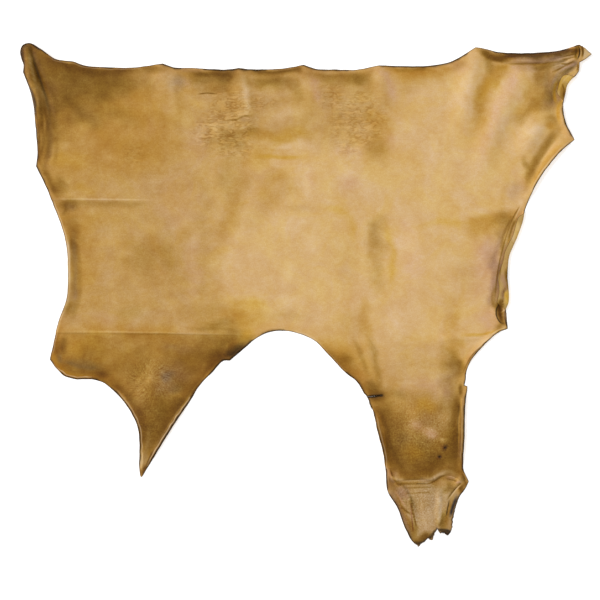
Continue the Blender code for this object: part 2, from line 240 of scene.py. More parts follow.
def window(stretch):
    """For each point of the edge, 0 outside a stretch of it, rising to 1 inside."""
    lengths = np.linalg.norm(np.roll(edge, -1, axis=0) - edge, axis=1)
    stations = np.concatenate(([0.0], np.cumsum(lengths)[:-1]))
    first = stations[np.linalg.norm(edge - on_plan(stretch.start), axis=1).argmin()]
    last = stations[np.linalg.norm(edge - on_plan(stretch.end), axis=1).argmin()]
    share = ((stations - first) % lengths.sum()) / ((last - first) % lengths.sum())
    inside = share <= 1
    return np.where(inside, smooth(share / stretch.grow) * smooth((1 - share) / stretch.fade), 0.0)


def clouds(places, size, seed):
    """Soft random bumps between about -1 and 1, of a size in metres, at each place."""
    random = np.random.default_rng(seed)
    total = np.zeros(len(places))
    for _ in range(WAVES):
        heading, phase = random.uniform(0, 2 * math.pi, 2)
        length = size * random.uniform(*WAVE_LENGTHS)
        along = places @ np.array((math.cos(heading), math.sin(heading)))
        total += np.sin(along * 2 * math.pi / length + phase)
    return np.clip(total / math.sqrt(2 * WAVES), -1.0, 1.0)


wander = WANDER * clouds(edge, WANDER_SIZE, seed=3)
teeth = np.random.default_rng(5).uniform(-1, 1, len(edge))
for stretch in FRAYED:
    wander += window(stretch) * stretch.amount * teeth
off_slit = 1 - SLIT.amount * window(SLIT)
wander *= off_slit
wander += OVERHANG * off_slit
edge = edge + outward_normals(edge) * wander[:, None] * MILLIMETRE
normals = outward_normals(edge)
print("the edge moves out by up to", round(float(wander.max()), 2), "mm")

# %% [markdown]
# ## Folds
# A hide is thick at the back and slack at the belly, so it never lies flat. Four shapes cover
# what it does: a fold is a ridge or a trough along a path, a swell is a broad rise, a lip is a
# stretch of edge that stands up, and a turn is an edge that has curled over on to the grain.
# The solid has the same main ones. The small gathers and creases are added here.

# %% Main folds, as in the solid
Fold = namedtuple("Fold", "name path height left right spread start end")
MAIN_FOLDS = (
    Fold("corner roll", ((27.5, 50), (28.8, 65), (32, 80), (36.5, 97), (39, 116), (40, 140)),
         14, 15, 11, 1.0, 0.8, 0.0),
    Fold("corner groove", ((30, 53), (35.5, 68), (41, 81), (46, 97), (49.5, 117), (51.5, 145)),
         -9, 16, 11, 1.3, 0.5, 0.0),
    Fold("first back fold", ((163, 68), (166, 88), (169, 118)), 3.5, 30, 32, 1.8, 0.9, 0.0),
    Fold("second back fold", ((239, 71), (245, 100), (247, 160)), 4, 24, 26, 1.9, 0.9, 0.0),
    Fold("third back fold", ((304, 70), (312, 92), (316, 118)), 3.5, 26, 28, 1.7, 0.9, 0.0),
    Fold("fourth back fold", ((380, 70), (383, 92), (386, 112)), 3.5, 28, 28, 1.6, 0.9, 0.0),
    Fold("fifth back fold", ((476, 52), (470, 80), (463, 118), (455, 150)), 8, 42, 44, 1.4, 0.7, 0.0),
    Fold("shoulder fold", ((528, 68), (514, 90), (497, 122), (484, 160), (478, 192)),
         8, 44, 46, 1.1, 0.4, 0.0),
    Fold("back roll", ((480, 53), (500, 58.5), (522, 60.5), (546, 58.6), (572, 52)),
         10, 14, 12, 1.0, 0.2, 1.0),
    Fold("upper gather", ((571, 56), (561, 60), (545, 66)), 4, 7, 7, 1.5, 0.5, 0.0),
    Fold("lower gather", ((572, 64), (564, 72), (555, 82), (549, 100)), 7, 12, 12, 1.3, 0.4, 0.1),
    Fold("belly bump", ((541, 120), (530, 140), (521, 165)), 9, 40, 46, 1.0, 0.6, 0.0),
    Fold("belly groove", ((558, 128), (549, 146), (537, 166), (529, 188)), -5, 18, 16, 1.0, 0.2, 0.2),
    Fold("roll shoulder", ((517, 212), (506, 238), (498, 262), (494, 290), (495, 312)),
         5, 16, 14, 1.0, 0.2, 0.6),
    Fold("storage crease", ((55, 331.6), (110, 332), (180, 332.4), (258, 333.5)),
         4, 20, 6, 1.0, 1.0, 0.3),
    Fold("storage crease, right", ((432, 337.5), (462, 337), (488, 336)), 4, 14, 18, 1.0, 0.1, 0.8),
    Fold("upper crease", ((52, 198.6), (100, 198.8), (152, 200)), 3, 16, 7, 1.0, 1.0, 0.1),
    Fold("shank edge groove", ((388, 418), (393, 440), (398, 458)), -5, 14, 12, 1.0, 0.2, 0.3),
    Fold("knuckle", ((394, 479), (408, 477.6), (424, 477), (433, 478), (440, 474), (452, 473.4),
                     (462, 478.5)), 9, 20, 7, 1.0, 0.5, 0.6),
    Fold("knuckle side", ((461, 478), (452, 488), (444, 500)), 6, 9, 9, 1.2, 0.9, 0.0),
    Fold("knuckle heel", ((396, 480), (403, 488), (411, 503), (416, 526)), 5, 8, 8, 1.2, 0.8, 0.1),
    Fold("shank streak", ((439, 488), (438, 505), (437.5, 523)), 6, 9, 9, 1.0, 0.1, 0.8),
    Fold("lobe fold", ((104, 381), (99, 372), (90, 364)), -4, 14, 16, 1.4, 1.0, 0.0),
)
Swell = namedtuple("Swell", "name x y reach_x reach_y height")
SWELLS = (
    Swell("pulled-up corner", 44, 70, 70, 62, 12),
    Swell("gathered corner", 572, 56, 46, 34, 12),
    Swell("knot", 578, 51, 11, 11, 10),
    Swell("upper left billow", 122, 118, 72, 46, 5),
    Swell("middle billow", 322, 178, 96, 52, 5),
    Swell("left billow", 150, 264, 80, 46, 4),
    Swell("right billow", 428, 266, 62, 56, 5),
    Swell("left lobe", 78, 352, 46, 32, 6),
    Swell("left shank", 148, 395, 30, 60, 6),
    Swell("right shank", 424, 430, 36, 52, 7),
    Swell("shank end", 424, 506, 34, 36, 6),
)
Lip = namedtuple("Lip", "name start end height width grow fade", defaults=(0.25, 0.25))
LIPS = (
    Lip("upper belly lip", (562.6, 102), (573.6, 139.6), 8, 22),
    Lip("belly lip", (573.6, 139.6), (526, 206), 13, 36),
    Lip("flank lip", (506.9, 328.2), (466, 370), 6, 18),
    Lip("outer shank lip", (466.7, 386.6), (463.7, 469.5), 8, 14),
    Lip("inner shank lip", (386.3, 470), (374.2, 412.6), 8, 20),
    Lip("left shank lip", (189.5, 400.6), (150, 463), 5, 16),
    Lip("left edge lip", (58.7, 323.6), (64.1, 229), 5, 16),
)
Turn = namedtuple("Turn", "name start end width grow fade")
TURNS = (
    Turn("corner turn", (576, 73), (562.8, 106), 40, 0.35, 0.35),
    Turn("flank turn", (525, 207), (505.4, 312), 29, 0.12, 0.04),
    Turn("flank turn, wider end", (525, 207), (505.4, 312), 45, 0.85, 0.06),
)
print(len(MAIN_FOLDS), "folds,", len(SWELLS), "swells,", len(LIPS), "lips and", len(TURNS), "turns")

# %% [markdown]
# Two grooves are too narrow for the solid's coarser net: the trough below the back roll and
# the notch below the knuckle. Only the fine sheet has them.

# %% Small gathers and creases
SMALL_FOLDS = (
    Fold("roll trough", ((566, 61.5), (548, 63.4), (528, 63.2), (508, 62)), -3.5, 5, 6, 1.0, 0.6, 0.0),
    Fold("knuckle notch", ((398, 483.2), (412, 483.2), (430, 482.6), (437, 479.6), (452, 479)),
         -2.5, 2, 5, 1.0, 0.5, 0.3),
)
FOLDS = MAIN_FOLDS + SMALL_FOLDS
print(len(SMALL_FOLDS), "small folds")

# %% [markdown]
# A fold and a streak are both known by how far beside their line a place lies, and how far
# along it. All places are worked out together in NumPy arrays, which is some hundred times
# faster than a loop over vertices.

# %% Places beside a line
CREST_STEP = 8 * MILLIMETRE


def crest(path):
    """A smooth line along a path on the plan."""
    places = [on_plan(place) for place in path]
    return np.array([*curve_through(places, CREST_STEP), places[-1]])


def beside(line, places):
    """Distance of places from a line, left of it positive, and the share of its length there."""
    spans = np.linalg.norm(np.diff(line, axis=0), axis=1)
    best = np.full(len(places), np.inf)
    side = np.zeros(len(places))
    share = np.zeros(len(places))
    travelled = 0.0
    for corner, following, span in zip(line[:-1], line[1:], spans):
        heading = (following - corner) / span
        offset = places - corner
        along = np.clip(offset @ heading, 0, span)
        away = np.linalg.norm(offset - along[:, None] * heading, axis=1)
        nearer = away < best
        left = heading[0] * offset[:, 1] - heading[1] * offset[:, 0]
        best = np.where(nearer, away, best)
        side = np.where(nearer, np.sign(left), side)
        share = np.where(nearer, (travelled + along) / spans.sum(), share)
        travelled += span
    return best * np.where(side < 0, -1, 1), share


def near(line, places, reach):
    """Which places lie in a line's box, grown by a reach."""
    return ((places > line.min(axis=0) - reach) & (places < line.max(axis=0) + reach)).all(axis=1)


print("a line's points are about", round(CREST_STEP * 1000), "mm apart")

# %% [markdown]
# The height of the sheet at any place is the sum of these shapes. Each shape fades smoothly to
# nothing, so the sum has no steps, and the ground clips whatever would sink below it.

# %% Height of the sheet
RISING = 0.35  # the share of a fold's length over which it rises from its start
FALLING = 0.5  # the share over which it falls to its end


def fold_reach(fold, offset, share):
    """A fold's half-width beside each place."""
    width = np.where(offset > 0, fold.left, fold.right) * MILLIMETRE
    return width * (1 + (fold.spread - 1) * share)


def nearest_on(points, places):
    """For each place, the number of the nearest of some points and its distance."""
    tree = KDTree(len(points))
    for number, point in enumerate(points):
        tree.insert((*point, 0), number)
    tree.balance()
    found = [tree.find((*place, 0)) for place in places]
    return np.array([item[1] for item in found], int), np.array([item[2] for item in found])


def in_ellipse(places, spot):
    """How far out each place is in an ellipse on the plan: 0 in its middle, 1 on its rim."""
    offset = (places - on_plan((spot.x, spot.y))) / SQUARE
    return np.hypot(offset[:, 0] / spot.reach_x, offset[:, 1] / spot.reach_y)


def relief(places):
    """How high the underside of the sheet lies above the ground at each place."""
    height = np.zeros(len(places))
    for swell in SWELLS:
        height += swell.height * MILLIMETRE * smooth(1 - in_ellipse(places, swell))
    for fold in FOLDS:
        line = crest(fold.path)
        reach = max(fold.left, fold.right) * max(1, fold.spread) * MILLIMETRE
        close = near(line, places, reach)
        offset, share = beside(line, places[close])
        across = smooth(1 - np.abs(offset) / fold_reach(fold, offset, share))
        rise = fold.start + (1 - fold.start) * smooth(share / RISING)
        fall = fold.end + (1 - fold.end) * smooth((1 - share) / FALLING)
        height[close] += fold.height * MILLIMETRE * across * rise * fall
    number, away = nearest_on(edge, places)
    for lip in LIPS:
        across = smooth(1 - away / (lip.width * MILLIMETRE))
        height += lip.height * MILLIMETRE * across * window(lip)[number]
    return np.maximum(height, 0.0)


print("the edge rises to", round(float(relief(edge).max()) * 1000, 1), "mm")

# %% [markdown]
# ## Turned-over edges
# Where the belly edge dries slack it curls up and over, and shows its flesh side. On the flat
# pattern this is a strip that goes on past the bend line. Each point of the strip is carried
# round an arc whose radius the leather can take, and then straight on over the grain. Where the
# edge wavers, the ways across the strip would cross, so they are evened out along the edge first.

# %% Curl the strips over
TURN_RADIUS = 6.5 * MILLIMETRE
TURN_ANGLE = math.radians(168)
TURN_ROWS = 12
LEAST_TURN = 4 * MILLIMETRE
UNEVEN_TURN = 0.06  # of its width

strip = np.zeros(len(edge))
for turn in TURNS:
    strip = np.maximum(strip, turn.width * MILLIMETRE * window(turn))
strip *= 1 + UNEVEN_TURN * clouds(edge, 30 * MILLIMETRE, seed=8)
turned = strip > LEAST_TURN
strip[~turned] = 0


def evened(directions, rounds):
    """Unit vectors averaged with their neighbours along the edge, several times over."""
    for _ in range(rounds):
        beside_it = np.roll(directions, 1, axis=0) + np.roll(directions, -1, axis=0)
        directions = directions + beside_it / 2
        directions /= np.linalg.norm(directions, axis=1)[:, None]
    return directions


normals = np.where(turned[:, None], evened(normals, rounds=6), normals)
inset = TURN_RADIUS * np.sin(np.minimum(strip / TURN_RADIUS, math.pi / 2))
bend_line = edge - normals * inset[:, None]
bend_height = relief(bend_line)


def carried(number, run):
    """Where the leather at a run past the bend line of an edge point comes to lie."""
    angle = np.minimum(run / TURN_RADIUS, TURN_ANGLE)
    straight = run - angle * TURN_RADIUS
    out = TURN_RADIUS * np.sin(angle) + straight * np.cos(angle)
    up = TURN_RADIUS * (1 - np.cos(angle)) + straight * np.sin(angle)
    place = bend_line[number] + normals[number] * out[:, None]
    return np.column_stack((place, bend_height[number] + up))


print("turned over:", int(turned.sum()), "of", len(edge), "edge points")

# %% [markdown]
# ## The tan
# Vegetable tanning never takes evenly: the back takes less of the liquor than the belly, and the
# colour wanders. The marks painted here are partly such dye marks and partly painted shade and
# painted highlight: the dark slopes and hollows of folds, the lit ridges below the clip peaks and
# edges that turn from the light. It would be possible to build this from noise alone, but a real
# hide's marks have places, so they are painted: a palette in a tanner's words, broad marks first,
# then smaller ones, then streaks along folds. Each mark is an ellipse with a soft, cloudy rim
# over what lies under it. Dye takes light away, so the marks are mixed as densities, not as
# colours: a thin one is then a warm one, as on real leather.

# %% Palette
TAN = (213, 173, 112)  # as a screen shows them, 0 to 255
PALE = (228, 196, 150)
HONEY = (190, 148, 84)
STRAW = (216, 174, 84)
OCHRE = (190, 138, 30)
RUSSET = (178, 127, 46)
BROWN = (148, 103, 32)
OLIVE = (122, 88, 14)
UMBER = (93, 58, 5)
BARK = (38, 25, 4)
DUN = (164, 130, 84)
ROSE = (206, 160, 124)
MAUVE = (146, 108, 76)
BUFF = (176, 143, 94)
RUST = (96, 46, 22)
SLATE = (104, 84, 72)
NIGHT = (44, 38, 42)
SUEDE = (192, 156, 92)
print("from the palest tone", PALE, "to the darkest", BARK)

# %% [markdown]
# Stains and patches of painted shade and painted highlight are kept alike. Each has its place
# and reaches in squares of the plan and how strongly it covers. Where it needs them it also has
# its turn in degrees and how much of its reach is soft. The order counts, because a later one
# lies over the ones before it.

# %% Broad stains and painted shading
StainAndShading = namedtuple("StainAndShading", "tone x y reach_x reach_y strength turn soft", defaults=(0, 0.9))


def stains_and_shading(*rows):
    """Stains and patches of painted shading, one from each row of values."""
    return tuple(StainAndShading(*row) for row in rows)


BROAD_STAINS_AND_SHADING = stains_and_shading(
    (HONEY, 118, 225, 122, 215, 0.95, -4, 0.35), (HONEY, 285, 98, 140, 62, 0.9, 0, 0.45),
    (RUSSET, 132, 128, 66, 60, 0.75, 0, 0.6), (UMBER, 62, 78, 92, 46, 0.46, -30),
    (UMBER, 94, 78, 74, 26, 0.42, -4), (BROWN, 62, 122, 30, 32, 0.75, 0, 0.8),
    (RUSSET, 74, 160, 50, 42, 0.55), (RUSSET, 72, 240, 40, 70, 0.55),
    (RUSSET, 150, 262, 42, 46, 0.25, 0, 0.8), (RUSSET, 120, 378, 170, 62, 0.8, 0, 0.35),
    (UMBER, 92, 366, 66, 28, 0.28), (UMBER, 198, 360, 62, 36, 0.45, 30),
    (UMBER, 160, 426, 48, 52, 0.55, -12, 0.8), (RUSSET, 352, 368, 60, 34, 0.85, -42),
    (HONEY, 415, 385, 80, 60, 0.6, 0, 0.7), (RUSSET, 412, 438, 62, 58, 0.55, 0, 0.5),
    (BROWN, 412, 450, 64, 60, 0.55, 0, 0.7), (UMBER, 427, 464, 60, 34, 0.5),
    (BUFF, 424, 518, 54, 42, 0.92, 0, 0.25), (BROWN, 542, 92, 30, 34, 0.3, 30),
    (SLATE, 418, 428, 56, 64, 0.14), (SLATE, 150, 392, 54, 62, 0.1),
)
print(len(BROAD_STAINS_AND_SHADING), "broad stains")

# %% [markdown]
# The smaller marks lie on the broad ones: stains where liquor or glaze stood thicker or thinner,
# and painted shade and painted highlight on the slopes and in the hollows of folds. They are kept
# by region, so that each can be found on the plan. The upper left comes first.

# %% Stains and painted shading of the upper left
UPPER_LEFT_STAINS_AND_SHADING = stains_and_shading(
    (UMBER, 60, 102, 18, 15, 0.3), (UMBER, 74, 106, 24, 8, 0.25, -48), (UMBER, 24, 51, 9, 11, 0.55),
    (UMBER, 44, 66, 20, 24, 0.3), (OLIVE, 112, 88, 30, 16, 0.3), (RUSSET, 110, 132, 22, 20, 0.4),
    (STRAW, 84, 124, 22, 8, 0.3, -30), (PALE, 66, 145, 11, 4, 0.35), (PALE, 112, 157, 14, 8, 0.25),
    (PALE, 150, 108, 22, 9, 0.2), (OCHRE, 66, 160, 30, 12, 0.35), (UMBER, 60, 186, 16, 10, 0.3, -60),
    (UMBER, 69, 206, 15, 8, 0.45), (MAUVE, 72, 208, 10, 6, 0.4), (OCHRE, 86, 190, 24, 10, 0.3),
    (UMBER, 70, 224, 12, 12, 0.2), (UMBER, 73, 244, 12, 22, 0.3), (STRAW, 108, 243, 26, 8, 0.35, 12),
    (RUSSET, 88, 272, 22, 26, 0.35), (UMBER, 72, 308, 12, 16, 0.2), (ROSE, 104, 322, 26, 14, 0.25),
    (UMBER, 142, 258, 26, 30, 0.14), (UMBER, 168, 252, 12, 40, 0.12), (ROSE, 192, 272, 13, 62, 0.4),
    (ROSE, 193, 150, 18, 50, 0.25), (ROSE, 218, 170, 10, 10, 0.25), (SLATE, 178, 84, 12, 12, 0.25),
    (ROSE, 186, 80, 8, 7, 0.4), (UMBER, 214, 80, 32, 14, 0.26), (UMBER, 224, 78, 12, 8, 0.35),
    (MAUVE, 224, 79, 9, 6, 0.3), (STRAW, 200, 104, 18, 7, 0.4), (RUSSET, 232, 88, 12, 9, 0.4),
    (UMBER, 228, 138, 34, 18, 0.15, 8), (UMBER, 250, 132, 14, 6, 0.15), (MAUVE, 246, 119, 9, 5, 0.35),
    (UMBER, 232, 176, 20, 42, 0.14, 8), (UMBER, 86, 118, 20, 12, 0.2), (MAUVE, 54, 92, 10, 16, 0.35),
    (ROSE, 140, 130, 36, 18, 0.25), (ROSE, 178, 204, 30, 36, 0.3), (RUSSET, 104, 218, 30, 10, 0.3),
    (RUSSET, 92, 302, 26, 13, 0.4), (UMBER, 132, 311, 22, 9, 0.1), (UMBER, 220, 84, 12, 8, 0.2),
    (UMBER, 25, 56, 5, 9, 0.5), (UMBER, 34, 46, 9, 6, 0.4, 30), (BARK, 26, 47, 7, 5, 0.2),
    (DUN, 66, 82, 26, 18, 0.14), (UMBER, 120, 118, 26, 14, 0.12), (UMBER, 96, 126, 16, 8, 0.12),
    (PALE, 171, 102, 9, 22, 0.25), (ROSE, 171, 104, 10, 24, 0.2), (UMBER, 32, 54, 7, 7, 0.4),
    (UMBER, 65, 211, 4, 8, 0.3, -20), (STRAW, 74, 270, 5, 13, 0.4), (UMBER, 66, 342, 7, 9, 0.2),
    (RUSSET, 189, 89, 9, 5, 0.4), (RUSSET, 162, 170, 14, 12, 0.3), (UMBER, 82, 120, 16, 14, 0.14),
    (PALE, 127, 252, 14, 12, 0.28), (PALE, 180, 226, 14, 14, 0.28), (PALE, 174, 132, 10, 12, 0.28),
    (STRAW, 68, 256, 6, 24, 0.4), (PALE, 112, 336, 18, 6, 0.25), (PALE, 67, 262, 6, 22, 0.3),
    (UMBER, 140, 370, 12, 9, 0.16), (BROWN, 200, 289, 12, 10, 0.16), (RUSSET, 165, 169, 12, 10, 0.3),
    (PALE, 109, 358, 12, 8, 0.28), (PALE, 73, 253, 7, 12, 0.3),
)
print(len(UPPER_LEFT_STAINS_AND_SHADING), "stains_and_shading")

# %% [markdown]
# The middle lies the flattest. Pale bars below its scallops are painted highlight on the ridges of
# the back folds, with russet drifts beside them.

# %% Stains and painted shading of the middle
MIDDLE_STAINS_AND_SHADING = stains_and_shading(
    (UMBER, 270, 84, 32, 12, 0.22), (RUSSET, 262, 136, 34, 12, 0.5, 0, 1.0),
    (OCHRE, 292, 134, 36, 12, 0.35, 0, 1.0), (RUSSET, 302, 134, 16, 14, 0.3, 0, 1.0),
    (PALE, 292, 146, 44, 7, 0.5), (PALE, 284, 112, 24, 11, 0.45), (UMBER, 299, 90, 12, 20, 0.14),
    (ROSE, 262, 176, 10, 12, 0.4), (HONEY, 278, 186, 26, 22, 0.45), (PALE, 306, 181, 8, 24, 0.6),
    (PALE, 346, 170, 18, 12, 0.45), (PALE, 362, 190, 14, 12, 0.3, 30), (PALE, 286, 224, 32, 15, 0.35),
    (PALE, 314, 243, 14, 22, 0.4, -20), (PALE, 286, 276, 9, 30, 0.4), (HONEY, 255, 216, 22, 26, 0.35),
    (HONEY, 300, 208, 24, 6, 0.35), (UMBER, 359, 79, 16, 8, 0.32), (PALE, 350, 104, 26, 14, 0.2),
    (RUSSET, 335, 92, 12, 22, 0.25), (RUSSET, 378, 132, 24, 46, 0.6, 0, 1.0),
    (UMBER, 378, 150, 18, 18, 0.12, 0, 1.0), (ROSE, 392, 142, 13, 13, 0.35),
    (ROSE, 348, 150, 22, 9, 0.35), (HONEY, 345, 262, 20, 50, 0.3), (UMBER, 376, 244, 16, 38, 0.13),
    (UMBER, 379, 274, 10, 22, 0.1), (PALE, 408, 240, 18, 34, 0.6), (ROSE, 404, 262, 12, 14, 0.3),
    (PALE, 436, 268, 16, 16, 0.3), (PALE, 396, 322, 14, 26, 0.45), (HONEY, 352, 325, 26, 18, 0.5),
    (BROWN, 212, 314, 38, 20, 0.35), (OCHRE, 240, 318, 32, 14, 0.25), (RUSSET, 240, 322, 34, 14, 0.6),
    (HONEY, 285, 315, 38, 9, 0.5), (PALE, 292, 299, 22, 9, 0.3),
    (RUSSET, 264, 156, 36, 16, 0.5, 0, 1.0), (UMBER, 238, 146, 16, 14, 0.14, 0, 1.0),
    (HONEY, 266, 194, 18, 30, 0.3), (OCHRE, 252, 304, 24, 10, 0.3), (UMBER, 222, 325, 26, 8, 0.25),
    (RUSSET, 367, 322, 12, 34, 0.45), (UMBER, 377, 232, 12, 22, 0.12), (ROSE, 350, 182, 16, 14, 0.35),
    (ROSE, 310, 182, 10, 20, 0.3), (ROSE, 406, 240, 18, 30, 0.4), (OCHRE, 268, 88, 20, 8, 0.2),
    (HONEY, 356, 91, 20, 10, 0.4), (UMBER, 152, 68, 20, 6, 0.3, -8), (PALE, 378, 77, 9, 9, 0.4),
    (UMBER, 298, 70, 9, 5, 0.3, -20), (RUSSET, 270, 186, 26, 28, 0.35), (PALE, 302, 190, 7, 13, 0.5),
    (PALE, 366, 236, 6, 13, 0.4), (PALE, 220, 127, 22, 8, 0.25), (OLIVE, 248, 339, 10, 5, 0.35, 20),
    (BROWN, 216, 90, 8, 6, 0.3), (HONEY, 333, 358, 5, 5, 0.6), (PALE, 244, 128, 5, 5, 0.45),
    (OLIVE, 240, 340, 6, 5, 0.3), (RUSSET, 244, 162, 10, 14, 0.4),
    (RUSSET, 212, 292, 18, 14, 0.3, 20), (OCHRE, 230, 300, 14, 12, 0.16),
    (RUSSET, 214, 89, 12, 9, 0.35), (PALE, 214, 133, 10, 10, 0.3), (UMBER, 236, 334, 12, 7, 0.2, -12),
    (UMBER, 214, 90, 26, 6, 0.13), (UMBER, 222, 360.6, 6, 3, 0.5, -25),
    (RUSSET, 359, 96, 12, 8, 0.25), (PALE, 275, 187, 12, 9, 0.25), (RUSSET, 238, 89, 9, 6, 0.35),
    (PALE, 213, 116, 8, 7, 0.3), (PALE, 316, 137, 8, 8, 0.35), (RUSSET, 237, 301, 10, 9, 0.3),
    (RUSSET, 193, 92, 9, 6, 0.35), (UMBER, 219, 354, 8, 9, 0.35),
)
print(len(MIDDLE_STAINS_AND_SHADING), "stains_and_shading")

# %% [markdown]
# The right was gathered and rolled, so its marks are small and close together. The mauve beside
# the folds is painted shade on slopes that face away from the light, and the brown and umber in
# the hollows is partly dye and partly painted shade.

# %% Stains and painted shading of the right
RIGHT_STAINS_AND_SHADING = stains_and_shading(
    (HONEY, 414, 84, 34, 13, 0.55), (RUSSET, 437, 73, 13, 5, 0.4), (PALE, 470, 80, 10, 24, 0.4, -10),
    (PALE, 428, 160, 10, 26, 0.4, -14), (PALE, 442, 178, 18, 14, 0.35),
    (PALE, 486, 146, 7, 30, 0.35, -8), (RUSSET, 496, 68, 12, 10, 0.5),
    (MAUVE, 550, 90, 15, 24, 0.45, 14), (SLATE, 558, 66, 18, 10, 0.42, -20),
    (BROWN, 576, 51, 8, 9, 0.7), (PALE, 588, 54, 8, 8, 1.0, 0, 0.4), (PALE, 531, 134, 14, 12, 0.6),
    (ROSE, 514, 75, 10, 14, 0.45), (ROSE, 519, 178, 9, 20, 0.4, 24), (PALE, 521, 203, 6, 5, 0.9, 30),
    (MAUVE, 514, 188, 14, 16, 0.25), (RUSSET, 482, 224, 32, 13, 0.55),
    (UMBER, 505, 221, 18, 13, 0.36, 16), (RUSSET, 512, 216, 10, 9, 0.4, 20),
    (RUSSET, 490, 218, 20, 10, 0.4), (UMBER, 501, 236, 8, 12, 0.14),
    (MAUVE, 493, 268, 10, 40, 0.6, 7), (ROSE, 484, 262, 20, 46, 0.5), (HONEY, 466, 275, 18, 34, 0.3),
    (ROSE, 488, 318, 14, 12, 0.5), (UMBER, 499, 326, 9, 6, 0.3, 20), (PALE, 480, 341, 16, 6, 0.6, 34),
    (RUSSET, 456, 350, 14, 24, 0.6), (ROSE, 456, 66, 16, 13, 0.55, -30),
    (OCHRE, 496, 80, 7, 15, 0.35, -24), (MAUVE, 526, 68, 26, 7, 0.4),
    (RUSSET, 534, 110, 16, 9, 0.3, 20), (SLATE, 571, 63, 8, 6, 0.4), (PALE, 586, 52, 7, 7, 0.35),
    (RUSSET, 480, 233, 22, 12, 0.45), (RUSSET, 452, 314, 18, 28, 0.35),
    (MAUVE, 551, 101, 8, 12, 0.45), (PALE, 472, 86, 6, 16, 0.5), (OCHRE, 480, 108, 7, 13, 0.25),
    (RUSSET, 497, 76, 8, 16, 0.4, -24), (PALE, 517, 86, 9, 17, 0.4, -10),
    (ROSE, 517, 88, 10, 18, 0.3, -10), (BROWN, 542, 76, 9, 16, 0.4), (UMBER, 541, 74, 8, 14, 0.16),
    (MAUVE, 545, 106, 8, 10, 0.45), (UMBER, 551, 121, 10, 7, 0.12), (RUSSET, 522, 110, 22, 9, 0.4),
    (PALE, 412, 258, 18, 36, 0.4), (ROSE, 412, 260, 18, 36, 0.3), (UMBER, 461, 366, 7, 11, 0.22, 30),
    (UMBER, 446, 368, 11, 8, 0.2), (UMBER, 458, 65, 15, 7, 0.14, 30), (ROSE, 486, 250, 10, 16, 0.4),
    (RUSSET, 493, 85, 7, 7, 0.45), (RUSSET, 548, 127, 6, 6, 0.55), (PALE, 553, 112, 6, 7, 0.7),
    (BROWN, 544, 92, 8, 14, 0.55), (PALE, 522.6, 94, 6, 9, 0.75), (PALE, 503, 329, 5, 4, 0.5),
    (RUSSET, 471, 360, 6, 5, 0.5, -40), (SLATE, 547, 92, 6, 15, 0.25), (OCHRE, 500, 67, 8, 6, 0.4),
    (BROWN, 541, 108, 9, 8, 0.45), (UMBER, 547, 75, 5, 9, 0.28), (PALE, 478, 88, 5, 12, 0.4),
    (MAUVE, 491, 305, 5, 12, 0.4), (RUSSET, 445, 69, 9, 5, 0.5, -20), (RUSSET, 552, 127, 7, 5, 0.5),
    (OLIVE, 500, 66, 7, 5, 0.25), (UMBER, 528, 162, 5, 9, 0.28, 20), (PALE, 476, 106, 6, 10, 0.45),
    (RUSSET, 504, 74, 9, 8, 0.35), (PALE, 506, 328, 8, 6, 0.4), (RUSSET, 460, 343, 12, 9, 0.3),
    (RUSSET, 440, 78, 14, 9, 0.28), (RUSSET, 537, 118, 9, 8, 0.25), (RUSSET, 404, 88, 16, 9, 0.22),
    (RUSSET, 386, 242, 8, 9, 0.3), (OCHRE, 495, 87, 7, 9, 0.25, -20), (PALE, 476, 99, 6, 9, 0.35),
    (RUSSET, 501, 70, 8, 6, 0.3), (ROSE, 522, 94, 8, 11, 0.3), (DUN, 25.6, 78, 4, 10, 0.3),
    (HONEY, 524, 53, 9, 4, 0.15),
)
print(len(RIGHT_STAINS_AND_SHADING), "stains_and_shading")
